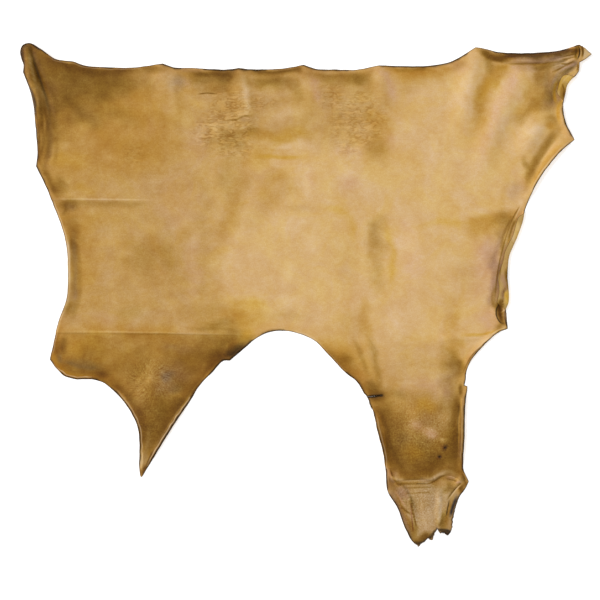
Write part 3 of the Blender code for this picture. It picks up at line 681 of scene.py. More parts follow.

# %% [markdown]
# The shanks are leg skin. Its fibre is loose and drinks the most liquor, so they take dark stains,
# and painted shade where their edges roll away from the light makes them darker still. Two rust
# rings mark the pits.

# %% Stains and painted shading of the two shanks
SHANK_STAINS_AND_SHADING = stains_and_shading(
    (OCHRE, 84, 347, 28, 12, 0.35), (SLATE, 84, 362, 28, 5, 0.22, -6), (SLATE, 60, 357, 6, 10, 0.4),
    (UMBER, 101, 373, 14, 8, 0.45), (HONEY, 118, 350, 22, 14, 0.4), (MAUVE, 180, 348, 30, 10, 0.4),
    (PALE, 152, 360, 8, 22, 0.16), (PALE, 149, 379, 9, 8, 0.35), (UMBER, 128, 372, 16, 12, 0.15),
    (MAUVE, 176, 376, 22, 18, 0.45), (SLATE, 170, 379, 9, 8, 0.5), (UMBER, 186, 386, 16, 14, 0.3, 40),
    (UMBER, 170, 406, 20, 14, 0.3, 40), (UMBER, 152, 426, 12, 20, 0.22), (MAUVE, 150, 442, 8, 8, 0.4),
    (DUN, 145, 456, 9, 15, 0.7, -10), (UMBER, 222, 349, 24, 14, 0.5, 30),
    # painted shadow where the edge beside the neck cut curves down away from the light
    (BARK, 236, 350, 17, 7.5, 0.8, 36), (OCHRE, 246, 335, 13, 8, 0.4, 20),
    (BROWN, 228, 338, 22, 10, 0.35, 20), (UMBER, 57, 344, 10, 15, 0.35),
    (UMBER, 150, 437, 9, 17, 0.3), (MAUVE, 143, 468, 6, 9, 0.7), (UMBER, 347, 362, 16, 9, 0.3, -42),
    (UMBER, 373, 388, 16, 11, 0.55, -30), (UMBER, 454, 366, 10, 24, 0.36),
    (MAUVE, 450, 384, 12, 22, 0.5), (ROSE, 424, 384, 34, 14, 0.4), (OCHRE, 426, 405, 14, 10, 0.3),
    (ROSE, 412, 410, 12, 9, 0.3), (ROSE, 416, 424, 14, 8, 0.6, -36),
    (ROSE, 431, 434, 16, 7, 0.75, -20), (BROWN, 398, 428, 16, 24, 0.6, 10),
    (UMBER, 396, 426, 12, 18, 0.2, 10), (OCHRE, 412, 454, 18, 10, 0.35),
    (UMBER, 438, 462, 30, 12, 0.35), (UMBER, 449, 444, 14, 26, 0.35), (UMBER, 380, 397, 13, 8, 0.45),
    (PALE, 441.5, 441, 4, 3, 0.7), (MAUVE, 388, 480, 9, 16, 0.8), (MAUVE, 400, 490, 14, 12, 0.5, 30),
    (ROSE, 395, 472, 6, 7, 0.5), (BROWN, 460, 474, 9, 10, 0.7), (DUN, 463, 482, 6, 8, 0.7),
    (UMBER, 421, 541, 16, 8, 0.55), (RUST, 444, 447, 4, 3.4, 0.8), (RUST, 439.5, 456.8, 3.6, 3, 0.8),
    (BARK, 444.4, 447.7, 1.8, 1.8, 0.8), (BARK, 439.5, 456.8, 1.8, 1.8, 0.8),
    (UMBER, 144, 358, 16, 16, 0.2), (UMBER, 134, 380, 10, 14, 0.2), (MAUVE, 166, 388, 14, 10, 0.35),
    (ROSE, 190, 342, 20, 9, 0.2), (UMBER, 396, 392, 18, 9, 0.2), (UMBER, 443, 402, 10, 16, 0.2),
    (MAUVE, 424, 422, 14, 12, 0.25), (SLATE, 400, 442, 14, 16, 0.15), (UMBER, 445, 356, 10, 20, 0.14),
    (UMBER, 449, 485, 7, 6, 0.4, -40), (UMBER, 392, 487, 7, 8, 0.25), (UMBER, 412, 502, 12, 12, 0.14),
    (UMBER, 424, 535, 9, 5, 0.55, 25), (OLIVE, 411, 530, 9, 11, 0.4), (OLIVE, 445, 520, 7, 16, 0.35),
    (UMBER, 444, 523, 5, 9, 0.25), (PALE, 431, 518, 7, 9, 0.3), (ROSE, 398, 478, 8, 5, 0.5),
    (ROSE, 450, 468, 10, 6, 0.35, 20), (ROSE, 450, 476, 9, 5, 0.5), (ROSE, 440, 482, 9, 5, 0.3),
    (UMBER, 448, 488, 5, 5, 0.35, -40), (UMBER, 450, 469, 9, 5, 0.3, 20),
    (ROSE, 388, 468, 5, 12, 0.5), (BROWN, 64, 345, 9, 14, 0.35), (SLATE, 178, 389, 12, 8, 0.22),
    (UMBER, 143, 470, 6, 9, 0.5), (RUSSET, 232, 348, 13, 7, 0.5, 30),
    (UMBER, 461, 488, 5, 7, 0.7, 0, 0.8), (MAUVE, 451, 477, 10, 5, 0.6),
    (MAUVE, 394, 471, 6, 11, 0.5), (PALE, 396, 473, 5, 8, 0.35),
    (NIGHT, 447, 531.6, 8, 4, 0.8, 0, 0.7), (PALE, 443.4, 441, 4, 3, 0.5),
    (OCHRE, 422, 408, 24, 12, 0.3, 20), (PALE, 426, 427, 20, 5, 0.2, -24),
    (UMBER, 390, 404, 9, 6, 0.2), (UMBER, 465.4, 481, 4.4, 9, 0.55, 0, 0.8),
    (BROWN, 388, 480, 4, 8, 0.5), (BROWN, 392, 477, 6, 7, 0.5), (UMBER, 445, 490, 6, 5, 0.4),
    (BROWN, 455, 483, 4, 4, 0.45), (PALE, 463, 481.4, 4, 5, 0.5), (MAUVE, 392, 478, 6, 6, 0.5),
    (UMBER, 414, 542, 5, 4, 0.5), (UMBER, 400, 438, 10, 14, 0.2), (RUSSET, 392, 381, 12, 9, 0.28),
    (SLATE, 392, 478, 6, 6, 0.4), (UMBER, 403, 451, 12, 9, 0.16), (PALE, 139.6, 460, 5, 12, 0.35),
    (DUN, 464, 489, 5, 8, 0.45), (BROWN, 423, 504, 10, 12, 0.18), (OLIVE, 452, 459, 6, 9, 0.25),
    (PALE, 136, 420, 6, 12, 0.3), (OLIVE, 414, 542, 6, 5, 0.4),
)
print(len(SHANK_STAINS_AND_SHADING), "stains_and_shading")

# %% [markdown]
# A streak follows a path: the shade beside a fold, the light on a crease, the liquor that ran
# down a groove. A row has its tone, its strength, its widths on the left and right hand of
# someone who walks the path, in squares, or one width for both, and then the path's places.

# %% Streaks of the upper half
Streak = namedtuple("Streak", "tone strength left right path")


def streaks(*rows):
    """Streaks, one from each row of values. A single width stands for both hands."""
    rows = [row if np.isscalar(row[3]) else (*row[:3], *row[2:]) for row in rows]
    return tuple(Streak(*row[:4], row[4:]) for row in rows)


UPPER_STREAKS = streaks(
    # painted shade in the corner groove, and a painted highlight on the roll beside it
    (UMBER, 0.5, 7, 3, (31, 49), (37.5, 66), (43.5, 85), (49, 104), (52.5, 126)),
    (BARK, 0.3, 2.6, (30, 50), (35.5, 62), (39.6, 76), (43.6, 92), (47, 104), (50.5, 122)),
    (PALE, 0.6, 2.4, 2.2, (28.4, 50), (31.4, 65), (34.4, 76), (37, 89)),
    (UMBER, 0.5, 2, 1.5, (23, 54), (25.5, 62), (25, 70)),
    (UMBER, 0.3, 3, (42, 96), (45, 112), (48, 130)),
    (UMBER, 0.5, 2.5, 1.5, (34, 92), (37, 112), (39, 136), (38.5, 160)),
    (UMBER, 0.4, 5, 7, (44, 54), (62, 64), (88, 71), (116, 72), (146, 70)),
    (UMBER, 0.15, 9, (58, 80), (72, 98), (88, 116)),
    (MAUVE, 0.45, 5, (46, 104), (49, 130), (49, 150), (45, 168)),
    (UMBER, 0.38, 7, 5, (45, 104), (48, 130), (47, 150), (43, 166)),
    (UMBER, 0.35, 7, 4, (42, 168), (49, 182), (57, 195)),
    # painted highlight along the upper crease, and painted shade below it
    (PALE, 0.6, 1.1, (54, 199), (72, 199), (110, 199.4), (152, 200)),
    (UMBER, 0.14, 3, 7, (58, 203), (100, 203), (152, 203.5)),
    (PALE, 0.8, 6, 4, (64, 228), (68, 262), (67.4, 290), (60, 323)),
    (UMBER, 0.16, 4, (76, 236), (80, 268), (78.6, 300), (73, 324)),
    (SLATE, 0.25, 4, 5, (74, 232), (76, 270), (74, 310)),
    # painted highlights on the ridges below the first and second back clips
    (PALE, 0.2, 6, (168, 70), (172, 84), (174, 104), (174, 124)),
    (PALE, 0.6, 5, (242, 73), (246, 90), (248, 124)),
    (UMBER, 0.5, 4, 5, (190, 73), (212, 74.5), (234, 74)),
    (UMBER, 0.2, 4, 5, (178, 72), (204, 73.4), (235, 74)),
    (UMBER, 0.2, 5, 8, (248, 80), (272, 82), (298, 79)),
    (UMBER, 0.22, 4, 8, (310, 73), (338, 76), (372, 73)),
    (UMBER, 0.5, 1.0, 1.2, (198, 94.2), (207, 93.2), (217, 94)),
    (UMBER, 0.35, 1.4, (228, 120), (236, 120), (244, 116.4), (252, 116)),
    (HONEY, 0.45, 14, (264, 162), (246, 182), (234, 204), (226, 228), (216, 248)),
    (RUSSET, 0.35, 11, (250, 166), (238, 195), (228, 225), (224, 256)),
    (OCHRE, 0.2, 4, (256, 156), (280, 158.5), (306, 157)),
    (ROSE, 0.6, 8, (315, 72), (318, 88), (320, 108)),
    (OCHRE, 0.22, 6, 7, (320, 207), (338, 210), (350, 220), (353, 244)),
    (OCHRE, 0.3, 5, (384, 222), (392, 246), (391, 290)),
    (ROSE, 0.5, 8, (380, 70), (387, 84), (396, 98)),
    (RUSSET, 0.75, 8, 11, (390, 72), (420, 74), (444, 71)),
    (OCHRE, 0.2, 5, (414, 226), (440, 223), (474, 221)),
    (PALE, 0.3, 10, (477, 51), (472, 72), (464, 98), (458, 120)),
    (UMBER, 0.3, 8, 7, (486, 53), (489, 62), (489, 76)),
    (RUSSET, 0.62, 12, 10, (494, 60), (490, 76), (485, 92), (481, 110), (478, 134)),
    (OCHRE, 0.2, 6, (490, 76), (485, 92), (482, 104)),
    (ROSE, 0.35, 8, (516, 68), (507, 90), (495, 112), (486, 138), (482, 170)),
    (PALE, 0.45, 7, (532, 72), (520, 92), (508, 112), (498, 126)),
    (BROWN, 0.4, 8, (546, 94), (530, 110), (510, 123)),
    (UMBER, 0.2, 6, 7, (558, 70), (552, 82), (549, 94), (549, 106)),
    (UMBER, 0.12, 6, (549, 104), (553, 116), (558, 127)),
    # painted shade on the slope into the belly groove, away from the light, and painted highlights on
    # the lip at the edge
    (UMBER, 0.36, 6, 8, (560, 128), (551, 139), (541, 155), (531, 175), (526, 190)),
    (BROWN, 0.4, 5, 7, (546, 142), (537, 158), (530, 174), (525, 190)),
    (STRAW, 0.4, 2.2, (566, 141), (554, 151), (543, 165), (534, 181)),
    (RUSSET, 0.2, 5, (507, 170), (503, 196), (500, 226)),
    (STRAW, 0.25, 5, 4, (568, 139), (556, 151), (542, 169), (532, 189), (525, 208)),
    (RUSSET, 0.4, 3, 4, (562, 148), (550, 158), (540, 173), (532, 192)),
    (UMBER, 0.36, 7, 5, (44, 75), (50, 88), (54, 102), (55, 118), (55, 138)),
    (UMBER, 0.22, 6, 7, (176, 76), (214, 80), (246, 79)),
    (UMBER, 0.25, 4, 5, (246, 73), (272, 74), (298, 70)),
    (UMBER, 0.15, 5, 6, (318, 80), (340, 82), (370, 82)),
    (OLIVE, 0.35, 2.5, (390, 70), (410, 70.4), (432, 69.6)),
    (PALE, 0.7, 1, (550, 161), (541, 173), (533.6, 186), (528, 197)),
    (UMBER, 0.42, 3.5, 3, (39, 94), (41, 118), (42, 144), (39.4, 165)),
    (UMBER, 0.45, 2.4, 3, (252, 71.4), (275, 72), (301, 69)),
    (UMBER, 0.32, 3.4, (51, 106), (48.4, 120), (45.4, 133), (44.6, 150)),
    (UMBER, 0.5, 2, (38.2, 136), (38, 150), (39, 162)),
    (UMBER, 0.15, 4, (54, 134), (56, 148), (55, 164)),
    (DUN, 0.6, 2.4, 4, (268, 70), (280, 69), (294, 67.6)),
    (STRAW, 0.7, 2.2, (56, 59), (64, 62), (74, 63.6)),
    (BARK, 0.4, 1.9, (23.4, 50), (24.8, 58), (26, 66)),
    (BARK, 0.6, 1.9, (28.6, 80), (31.6, 88), (34, 95), (36, 105), (36.6, 118)),
    (UMBER, 0.7, 3.4, (22.6, 50), (24.4, 57), (26, 68)),
    (OCHRE, 0.35, 3, (258, 156), (280, 157.6), (302, 157)),
    (MAUVE, 0.35, 3, (178, 69.6), (190, 70.4), (204, 71)),
)
print(len(UPPER_STREAKS), "streaks")

# %% [markdown]
# The gathered corner is all narrow pleats. Most of them are painted as a groove of painted shade
# beside a ridge with a painted highlight.

# %% Streaks of the gathered corner
CORNER_STREAKS = streaks(
    (UMBER, 0.95, 5, (486, 54), (494, 55.4), (503, 56.4), (520, 56.8), (541, 55.6), (560, 53),
     (576, 49.6)),
    (UMBER, 0.5, 7, 4, (478, 51), (490, 57), (506, 60)),
    (MAUVE, 0.5, 3, (506, 60), (530, 61), (552, 60), (568, 57)),
    (SLATE, 0.4, 4, 6, (516, 58), (540, 57), (572, 53)),
    (PALE, 0.4, 1.0, (508, 60.6), (530, 61.2), (552, 60), (570, 56)),
    (UMBER, 0.4, 1.8, 2.2, (506, 63.6), (530, 64), (552, 63), (566, 61)),
    (PALE, 0.5, 1.4, (548, 68), (560, 65), (572, 59)),
    (UMBER, 0.6, 1.6, (553, 72), (563, 67.6), (573, 61.5)),
    (PALE, 0.25, 1.2, (559, 75), (567, 69.6), (575, 63)),
    (UMBER, 0.4, 0.9, (560, 60.5), (568, 58.6), (575, 57)),
    (OLIVE, 0.8, 1.6, 1.9, (577.4, 47), (575, 50), (574.4, 55), (575.6, 60)),
    (BARK, 0.75, 0.8, 0.9, (577.4, 48), (578.4, 52), (578, 56), (576.6, 59.4)),
    (PALE, 0.8, 0.6, (578.6, 48), (579.6, 52), (579.2, 57), (578.2, 59.4)),
    (BARK, 0.8, 1.0, (572.6, 48.2), (577.4, 46.4), (582.4, 47.4)),
    (UMBER, 0.75, 1.4, (579.8, 47), (581.4, 51), (581.2, 57)),
    (PALE, 0.8, 2.2, (584.4, 49.6), (587.4, 52.6), (590, 54.6)),
    (PALE, 0.8, 1.4, (583.6, 53), (583.2, 57), (581.6, 60.6)),
    (UMBER, 0.75, 2.6, (543, 55), (556, 52.8), (566, 51.8), (577, 51.4)),
    (ROSE, 0.6, 0.9, (562, 50.3), (568, 49.2), (574, 48.6)),
    (UMBER, 0.5, 3.0, 2.4, (543, 58), (552, 56.6), (562, 55.4)),
    (UMBER, 0.5, 0.8, (560, 58), (568, 55.6), (574, 54)),
    (UMBER, 0.55, 1.2, (559, 64), (566, 64.6), (573, 62.6)),
    (SLATE, 0.4, 4.5, (574, 65), (565, 70), (558, 77), (553.6, 88), (551, 100)),
    (UMBER, 0.3, 2.4, (576, 66), (567, 70), (560, 75.4), (555.6, 82)),
    (UMBER, 0.4, 4, 5, (530, 66.4), (544, 66.8), (556, 66)),
    (STRAW, 0.7, 1.5, 2.0, (576, 71), (570, 74.4), (564, 78), (558, 84)),
    (UMBER, 0.5, 1.4, (577, 64), (577.4, 68), (576.4, 71)),
    (OCHRE, 0.55, 3.0, (564, 100), (559, 104), (558, 112), (560, 122)),
    (UMBER, 0.4, 2.2, 2, (564, 108), (566, 118), (569, 128)),
    (PALE, 0.9, 3, (584, 49), (588, 52.4), (590, 54.4)),
    (BUFF, 0.4, 4, (548, 69), (546, 78), (543, 90)),
    (OCHRE, 0.75, 2.8, (559, 80), (554.6, 87), (553.8, 96), (556, 104)),
    (DUN, 0.6, 3, (478, 47.4), (485, 49), (493, 53)), (RUSSET, 0.5, 4, (496, 66), (508, 66)),
    (OLIVE, 0.3, 2.6, (564, 114), (566, 124)),
    (ROSE, 0.4, 2.4, (575, 62.6), (568, 66.4), (560, 71)),
)
print(len(CORNER_STREAKS), "streaks")

# %% [markdown]
# Next come the turned strip of the flank, with painted shade beside it and a painted shadow in
# its pocket, and the crease across the hide, with a painted highlight along it and painted shade
# below.

# %% Streaks of the flank and the crease
FLANK_STREAKS = streaks(
    (UMBER, 0.5, 3.2, 3, (512, 217), (506.4, 229), (502.4, 241), (499.4, 254)),
    (STRAW, 1.0, 2.2, 1.9, (516, 218), (512.4, 229), (509, 239), (505.6, 249)),
    (PALE, 0.7, 1.3, (515, 221), (512.4, 230), (509.4, 239)),
    (PALE, 0.7, 0.8, (521, 206), (517, 214), (513.4, 223)),
    (UMBER, 0.45, 0.8, (519, 207), (515, 214), (511, 222)),
    (UMBER, 0.4, 3.4, 2.4, (494.6, 284), (492.6, 294), (492.6, 303), (495, 310)),
    (UMBER, 0.4, 0.8, (515, 213), (507, 234), (501.4, 252), (497.4, 270), (495.4, 286), (494.6, 302)),
    (MAUVE, 0.6, 4.6, (503, 232), (498, 246), (494, 262), (491.6, 280), (491, 302)),
    # painted shadow in the pocket at the end of the turned strip
    (UMBER, 0.9, 4.4, 5, (500.5, 300), (498.6, 306), (499.4, 315), (502.4, 323)),
    (BARK, 0.7, 0.9, (499.6, 303), (496.2, 308.6), (495.8, 313.4), (497.6, 319),
     (500.6, 322.8), (503.6, 323.4)),
    (BARK, 0.7, 1.2, (506, 309), (504.6, 314), (505.4, 320), (507, 328)),
    (MAUVE, 0.9, 1.5, (505, 311.4), (504.8, 316), (505.4, 321)),
    (PALE, 0.4, 0.8, (504.6, 312), (504.4, 318)),
    (PALE, 0.9, 0.9, (501.4, 312.4), (503.6, 310.6), (506.6, 309.6)),
    (OCHRE, 0.5, 2, (462, 335.5), (482, 334.4), (497, 331), (506, 327.5)),
    # painted highlight along the storage crease, and painted shade below it
    (PALE, 0.4, 1.1, (57, 331.4), (150, 332.2), (200, 333.4), (252, 334.4)),
    (UMBER, 0.12, 0.9, 44, (57, 333.2), (150, 333.2), (258, 335)),
)
print(len(FLANK_STREAKS), "streaks")

# %% [markdown]
# Most streaks of the shanks follow their edges, where the skin rolls over; the dark ones there
# are mostly painted shade on the sides that turn from the light.

# %% Streaks of the shanks
SHANK_STREAKS = streaks(
    (OCHRE, 0.45, 5, 1, (57, 338), (53, 357), (66, 373), (102, 377)),
    (UMBER, 0.12, 5, 4, (60, 367), (80, 371), (102, 373)),
    (SLATE, 0.3, 4, (62, 361), (82, 366), (104, 368)),
    (UMBER, 0.4, 11, 2, (104, 380), (124, 394), (136, 412), (141, 440)),
    (UMBER, 0.15, 3, (150, 372), (140, 384), (128, 396)),
    (SLATE, 0.4, 3.4, 4, (203, 379), (190, 397), (176, 416), (160, 444)),
    (UMBER, 0.3, 6, 7, (244, 344), (230, 354), (212, 366), (196, 384)),
    (UMBER, 0.35, 3, 11, (200, 382), (188, 398), (175, 417), (160, 444)),
    (UMBER, 0.3, 9, 2, (318, 344), (338, 364), (356, 384), (368, 396)),
    (STRAW, 0.3, 3, (470, 346), (464, 360), (461, 378)),
    (UMBER, 0.5, 0.9, (500, 332), (484, 343.6), (471, 357), (463, 372)),
    (UMBER, 0.15, 4, (352, 338), (360, 352), (368, 374)),
    (UMBER, 0.45, 14, 9, (375, 398), (384, 424), (391, 448), (400, 470)),
    (UMBER, 0.3, 3, (380, 410), (388, 432), (395, 456)),
    (RUSSET, 0.7, 2, 2.2, (377.6, 414), (383, 434), (386, 452)),
    (UMBER, 0.6, 5, 11, (458, 388), (455.4, 415), (455.4, 440), (457, 472)),
    (BARK, 0.15, 1.3, (459, 400), (457.6, 424), (457.2, 452)),
    (UMBER, 0.35, 4, 3.5, (463, 388), (461.8, 430), (461, 472)),
    (BUFF, 0.6, 1.0, (463.6, 400), (462.6, 430), (461.8, 462)),
)
print(len(SHANK_STREAKS), "streaks")

# %% [markdown]
# The knuckle and the torn end of the right shank have the finest marks of all, many of them
# painted highlights on ridges and painted shade in creases. A few last touches on the edges of
# the lower half come after them, most of them painted highlights along edges that face the light.

# %% Streaks of the knuckle and the torn end
END_STREAKS = streaks(
    (ROSE, 0.5, 3, (388, 468), (391, 476), (396, 480)),
    (DUN, 0.8, 3, (392, 480), (410, 480), (430, 479), (441, 473), (452, 472), (459, 477)),
    (PALE, 0.5, 1.4, (397, 480.6), (416, 480.4), (434, 478)),
    (UMBER, 0.6, 1.4, (390, 468), (393, 477), (399, 483)),
    (UMBER, 0.5, 1.4, (396, 482), (398.4, 484), (402, 484.6)),
    (UMBER, 0.6, 1.3, 1.1, (398, 484), (415, 484), (431, 483), (438, 478.6), (444, 475.6)),
    (PALE, 0.5, 1.8, (431, 479), (437, 475.4), (445, 472.6)),
    (PALE, 0.5, 1.0, (444, 474.6), (453, 477), (461, 481)),
    (PALE, 0.8, 1.2, (456, 482.6), (459, 481.4), (462, 482)),
    (UMBER, 0.5, 1.3, (446, 478.4), (453, 480), (458, 482.4)),
    (PALE, 0.9, 1.5, (463, 483), (456, 489), (449, 498)),
    (UMBER, 0.5, 1.2, (458, 485), (452, 491), (447, 499)),
    # painted highlight on the ridge of the shank streak
    (PALE, 0.95, 3.2, (438.5, 492), (440, 510), (438.5, 527)),
    (UMBER, 0.6, 1.3, (410, 497), (413, 512), (417, 530)),
    (UMBER, 0.6, 2, 1.5, (400, 505), (406, 511), (411, 514)),
    (ROSE, 0.55, 1.6, (394, 490), (401, 500), (407, 508)),
    (BROWN, 0.55, 3, 5, (395, 492), (402, 508), (410, 524), (417, 538)),
    (PALE, 0.3, 3, (420, 500), (423, 515), (426, 528)),
    (BROWN, 0.6, 4, 3, (451, 498), (448, 512), (445, 528)),
    (BARK, 0.5, 1.0, (449, 500), (447.4, 508), (446, 516)),
    (NIGHT, 0.95, 1.6, 3.2, (457, 497), (453, 508), (451, 516)),
    (BARK, 0.65, 2.4, (411, 541), (419, 543), (429, 537.5), (436, 530.5), (449, 531)),
    (UMBER, 0.28, 1.3, (402, 488), (418, 487.4), (434, 487)),
    (UMBER, 0.22, 1.3, (405, 493.4), (420, 492.6), (433, 492)),
    (DUN, 0.6, 2, (389, 489), (395, 501), (400, 512), (406, 526), (412, 537)),
    (RUST, 0.4, 0.9, (411, 504), (412, 518), (413, 533)),
    (MAUVE, 0.5, 1.6, (399, 484), (404, 492), (409, 502)),
    (STRAW, 0.5, 1.8, (206, 376), (195, 388), (184, 404), (172, 421), (160, 441)),
    (STRAW, 0.4, 1.8, (54, 336), (51.6, 348), (50, 358)),
    (DUN, 0.5, 3, 4, (150, 424), (148, 442), (145, 458)),
    (UMBER, 0.3, 6, 4, (65, 334), (63, 346), (65, 357)),
    (DUN, 0.55, 1.6, (112, 387), (127, 402), (136, 418), (140.6, 438)),
    (UMBER, 0.14, 3, (186, 328.4), (214, 329), (250, 331)),
    (UMBER, 0.2, 5, (367, 336), (374, 352), (378, 370), (381, 390)),
    (UMBER, 0.35, 5, (384, 428), (392, 448), (405, 471)),
    (PALE, 0.6, 2, (389, 475.4), (397, 478.6), (405, 478.6)),
    (STRAW, 0.35, 2.4, (461.4, 394), (461, 404), (461.4, 416)),
    (PALE, 0.2, 1.2, (462.4, 396), (462, 410)),
    (PALE, 0.5, 2, (464, 338.6), (482, 336.4), (499, 331.4)),
    (PALE, 0.7, 1.3, (142.4, 450), (142.6, 466)),
    (UMBER, 0.7, 1.6, (154, 449), (148, 462), (143.4, 472)),
    (BARK, 0.8, 1.0, (367, 397), (374, 396.2), (382.5, 395.4)),
    (MAUVE, 0.5, 2.5, (393, 495), (403, 515), (411.6, 538)),
    (ROSE, 0.9, 1.4, (455.6, 483.4), (458.6, 481.4), (461, 481.6)),
    # painted highlights along edges that face the light
    (PALE, 0.8, 3, (61, 309), (58.8, 320), (56.4, 335)),
    (PALE, 0.8, 2.6, (67.6, 236), (69, 262), (68, 284)),
    (PALE, 0.9, 2.8, (292, 332), (306, 335.6), (320, 343.4)),
    (PALE, 0.85, 2.2, (139, 446), (140.6, 462), (142, 472)),
    (UMBER, 0.7, 2.4, (206, 377), (199, 385), (190, 396)),
    (UMBER, 0.65, 2.4, (162, 444), (155, 454), (148, 464)),
    (UMBER, 0.6, 3, (460.6, 383), (461, 397)), (UMBER, 0.6, 2.6, (463, 454), (463.6, 473)),
    (OLIVE, 0.55, 3, (98, 378.6), (107, 385), (115, 392)),
    (UMBER, 0.45, 2, (516, 219), (511, 229), (507.6, 240)),
    (UMBER, 0.3, 1.9, (459.6, 396), (460.4, 430), (461, 462)),
    (STRAW, 0.45, 3, (86, 333.4), (101, 334), (116, 334)),
    (PALE, 0.3, 2, (218, 364), (208, 374), (196, 388)),
)
ALL_STAINS_AND_SHADING = BROAD_STAINS_AND_SHADING + UPPER_LEFT_STAINS_AND_SHADING + MIDDLE_STAINS_AND_SHADING + RIGHT_STAINS_AND_SHADING + SHANK_STAINS_AND_SHADING
ALL_STREAKS = UPPER_STREAKS + CORNER_STREAKS + FLANK_STREAKS + SHANK_STREAKS + END_STREAKS
print(len(END_STREAKS), "streaks,", len(ALL_STREAKS), "in all, and", len(ALL_STAINS_AND_SHADING), "stains_and_shading")

# %% [markdown]
# The cut edge dries first and hardest, and a dark line runs along it: partly burnished leather
# and partly painted shade where the rounded edge turns from the light. Its width changes from
# stretch to stretch. Inside it, where the edge faces the light, the bevel gets a painted
# highlight. Both follow the edge, so they are stretches of it: the dark line with a width in
# millimetres, the highlight with a strength.

# %% Dark rims of burnish and painted shade, and painted highlights
Rim = namedtuple("Rim", "start end amount grow fade", defaults=(0.15, 0.15))
# dark rims: burnished leather and painted shade where the rounded edge turns from the light
BURNISHED_SHADED = (  # how many millimetres wide
    Rim((38.5, 150), (24.6, 64), 4.5, 0.15, 0.03),
    Rim((25, 72), (50, 56), 5.4, 0.03, 0.1), Rim((50, 56), (100, 65), 2.6, 0.1, 0.1),
    Rim((98, 65), (118, 66), 3.4, 0.3, 0.3), Rim((156, 63.6), (186, 66.8), 4.6, 0.2, 0.2),
    Rim((200, 67.4), (270, 68), 5.6, 0.1, 0.1), Rim((298, 66.6), (352, 67.4), 4.0, 0.1, 0.1),
    Rim((374, 66.6), (473, 49.6), 4.6, 0.1, 0.1), Rim((488, 51), (571, 48), 6.0, 0.1, 0.1),
    Rim((577, 45.6), (578, 62), 1.4), Rim((563, 104), (573, 139), 4.0),
    Rim((573, 138), (528, 197), 3.0), Rim((507.4, 322), (468, 364), 3.2),
    Rim((466, 372), (464, 386), 3.2), Rim((463, 386), (467, 480), 4.0),
    Rim((466, 485), (451, 529), 3.6), Rim((450, 531), (440, 531), 4.5, 0.05, 0.05),
    Rim((416, 544), (388, 490), 5.0), Rim((388, 492), (384, 466), 4.0), Rim((386, 470), (372, 405), 3.4),
    Rim((374, 411), (362, 390), 4.5, 0.1, 0.1), Rim((366, 395), (346, 368), 4.4),
    Rim((288, 331), (258, 335), 4.0),
    Rim((256, 337), (200, 384), 5.0, 0.1, 0.3), Rim((200, 384), (142, 476), 4.4),
    Rim((140, 474), (104, 381.6), 5.2), Rim((104, 381), (57, 368), 4.6),
    Rim((56, 366), (52, 342), 3.0), Rim((58, 220), (46, 185), 2.4), Rim((50, 195), (37, 150), 4.0),
)
# painted highlights on the bevel, where the edge faces the light
LIT = (  # how strongly
    Rim((44, 52), (150, 66.6), 0.3), Rim((308, 67), (374, 67.4), 0.15),
    Rim((565, 108), (572, 136), 0.35), Rim((573, 141), (530, 195), 0.7),
    Rim((506, 329), (474, 356), 0.9, 0.03, 0.3), Rim((466, 390), (464, 466), 0.3),
    Rim((388, 488), (376, 412), 0.6), Rim((352, 376), (270, 331), 0.2),
    Rim((192, 397), (146, 468), 0.9, 0.03), Rim((140, 468), (112, 389), 0.7),
    Rim((94, 379), (56, 366), 0.8), Rim((52, 356), (57, 328), 0.4),
    Rim((60, 320), (62, 309), 0.75, 0.03, 0.3), Rim((66, 292), (50, 195), 0.75),
)
print(len(BURNISHED_SHADED), "burnished and", len(LIT), "lit stretches")

# %% [markdown]
# ## A net of points
# The sheet is a triangle net over the flat pattern. Open ground takes a wide net, and folds,
# narrow streaks and wrinkled ground a close one. Rows of points follow the edge so that it can be
# rounded, and Blender's constrained Delaunay triangulation joins them all. Triangles near a
# turned edge stay in the strip because they are made on the flat pattern, before anything is
# curled.

# %% Net over the pattern
NET_STEP = 4.9 * MILLIMETRE
OPEN_GROUND = 2  # there only one net point in this many is kept, each way
WIDEST_BAND = 30  # mm of close net on either side of a fold's path
NARROW_STREAK = 4.5  # squares
STREAK_MARGIN = 1.5  # squares of close net outside a narrow streak
Spot = namedtuple("Spot", "x y reach_x reach_y strength", defaults=(1.0,))
CLOSE_NETS = (
    Spot(235, 112, 45, 52), Spot(355, 125, 42, 40), Spot(150, 395, 45, 60),
    Spot(424, 500, 50, 50), Spot(560, 75, 50, 35),
)


def close_to(path, places, reach):
    """Which places lie within a reach of a path on the plan."""
    line = crest(path)
    found = near(line, places, reach)
    offset, _ = beside(line, places[found])
    found[found] = np.abs(offset) < reach
    return found


def streaks_under(width):
    """The streaks that are no wider than this on one hand."""
    return [streak for streak in ALL_STREAKS if min(streak.left, streak.right) <= width]


def net():
    """Points of a net of triangles over the hide's box, closer together on folds."""
    lowest, highest = edge.min(axis=0), edge.max(axis=0)
    rise = NET_STEP * math.sqrt(3) / 2
    rows = np.arange(int((highest[1] - lowest[1]) / rise) + 1)
    columns = np.arange(-len(rows) // 2 - 1, int((highest[0] - lowest[0]) / NET_STEP) + 1)
    column, row = (grid.ravel() for grid in np.meshgrid(columns, rows))
    places = lowest + np.stack(((column + row / 2) * NET_STEP, row * rise), axis=1)
    kept = (column % OPEN_GROUND == 0) & (row % OPEN_GROUND == 0)
    for fold in FOLDS:
        reach = min(max(fold.left, fold.right) * max(1, fold.spread), WIDEST_BAND) * MILLIMETRE
        kept |= close_to(fold.path, places, reach)
    for streak in streaks_under(NARROW_STREAK):
        reach = (min(max(streak.left, streak.right), NARROW_STREAK) + STREAK_MARGIN) * SQUARE
        kept |= close_to(streak.path, places, reach)
    for spot in CLOSE_NETS:
        kept |= in_ellipse(places, spot) < 1
    return places[kept]


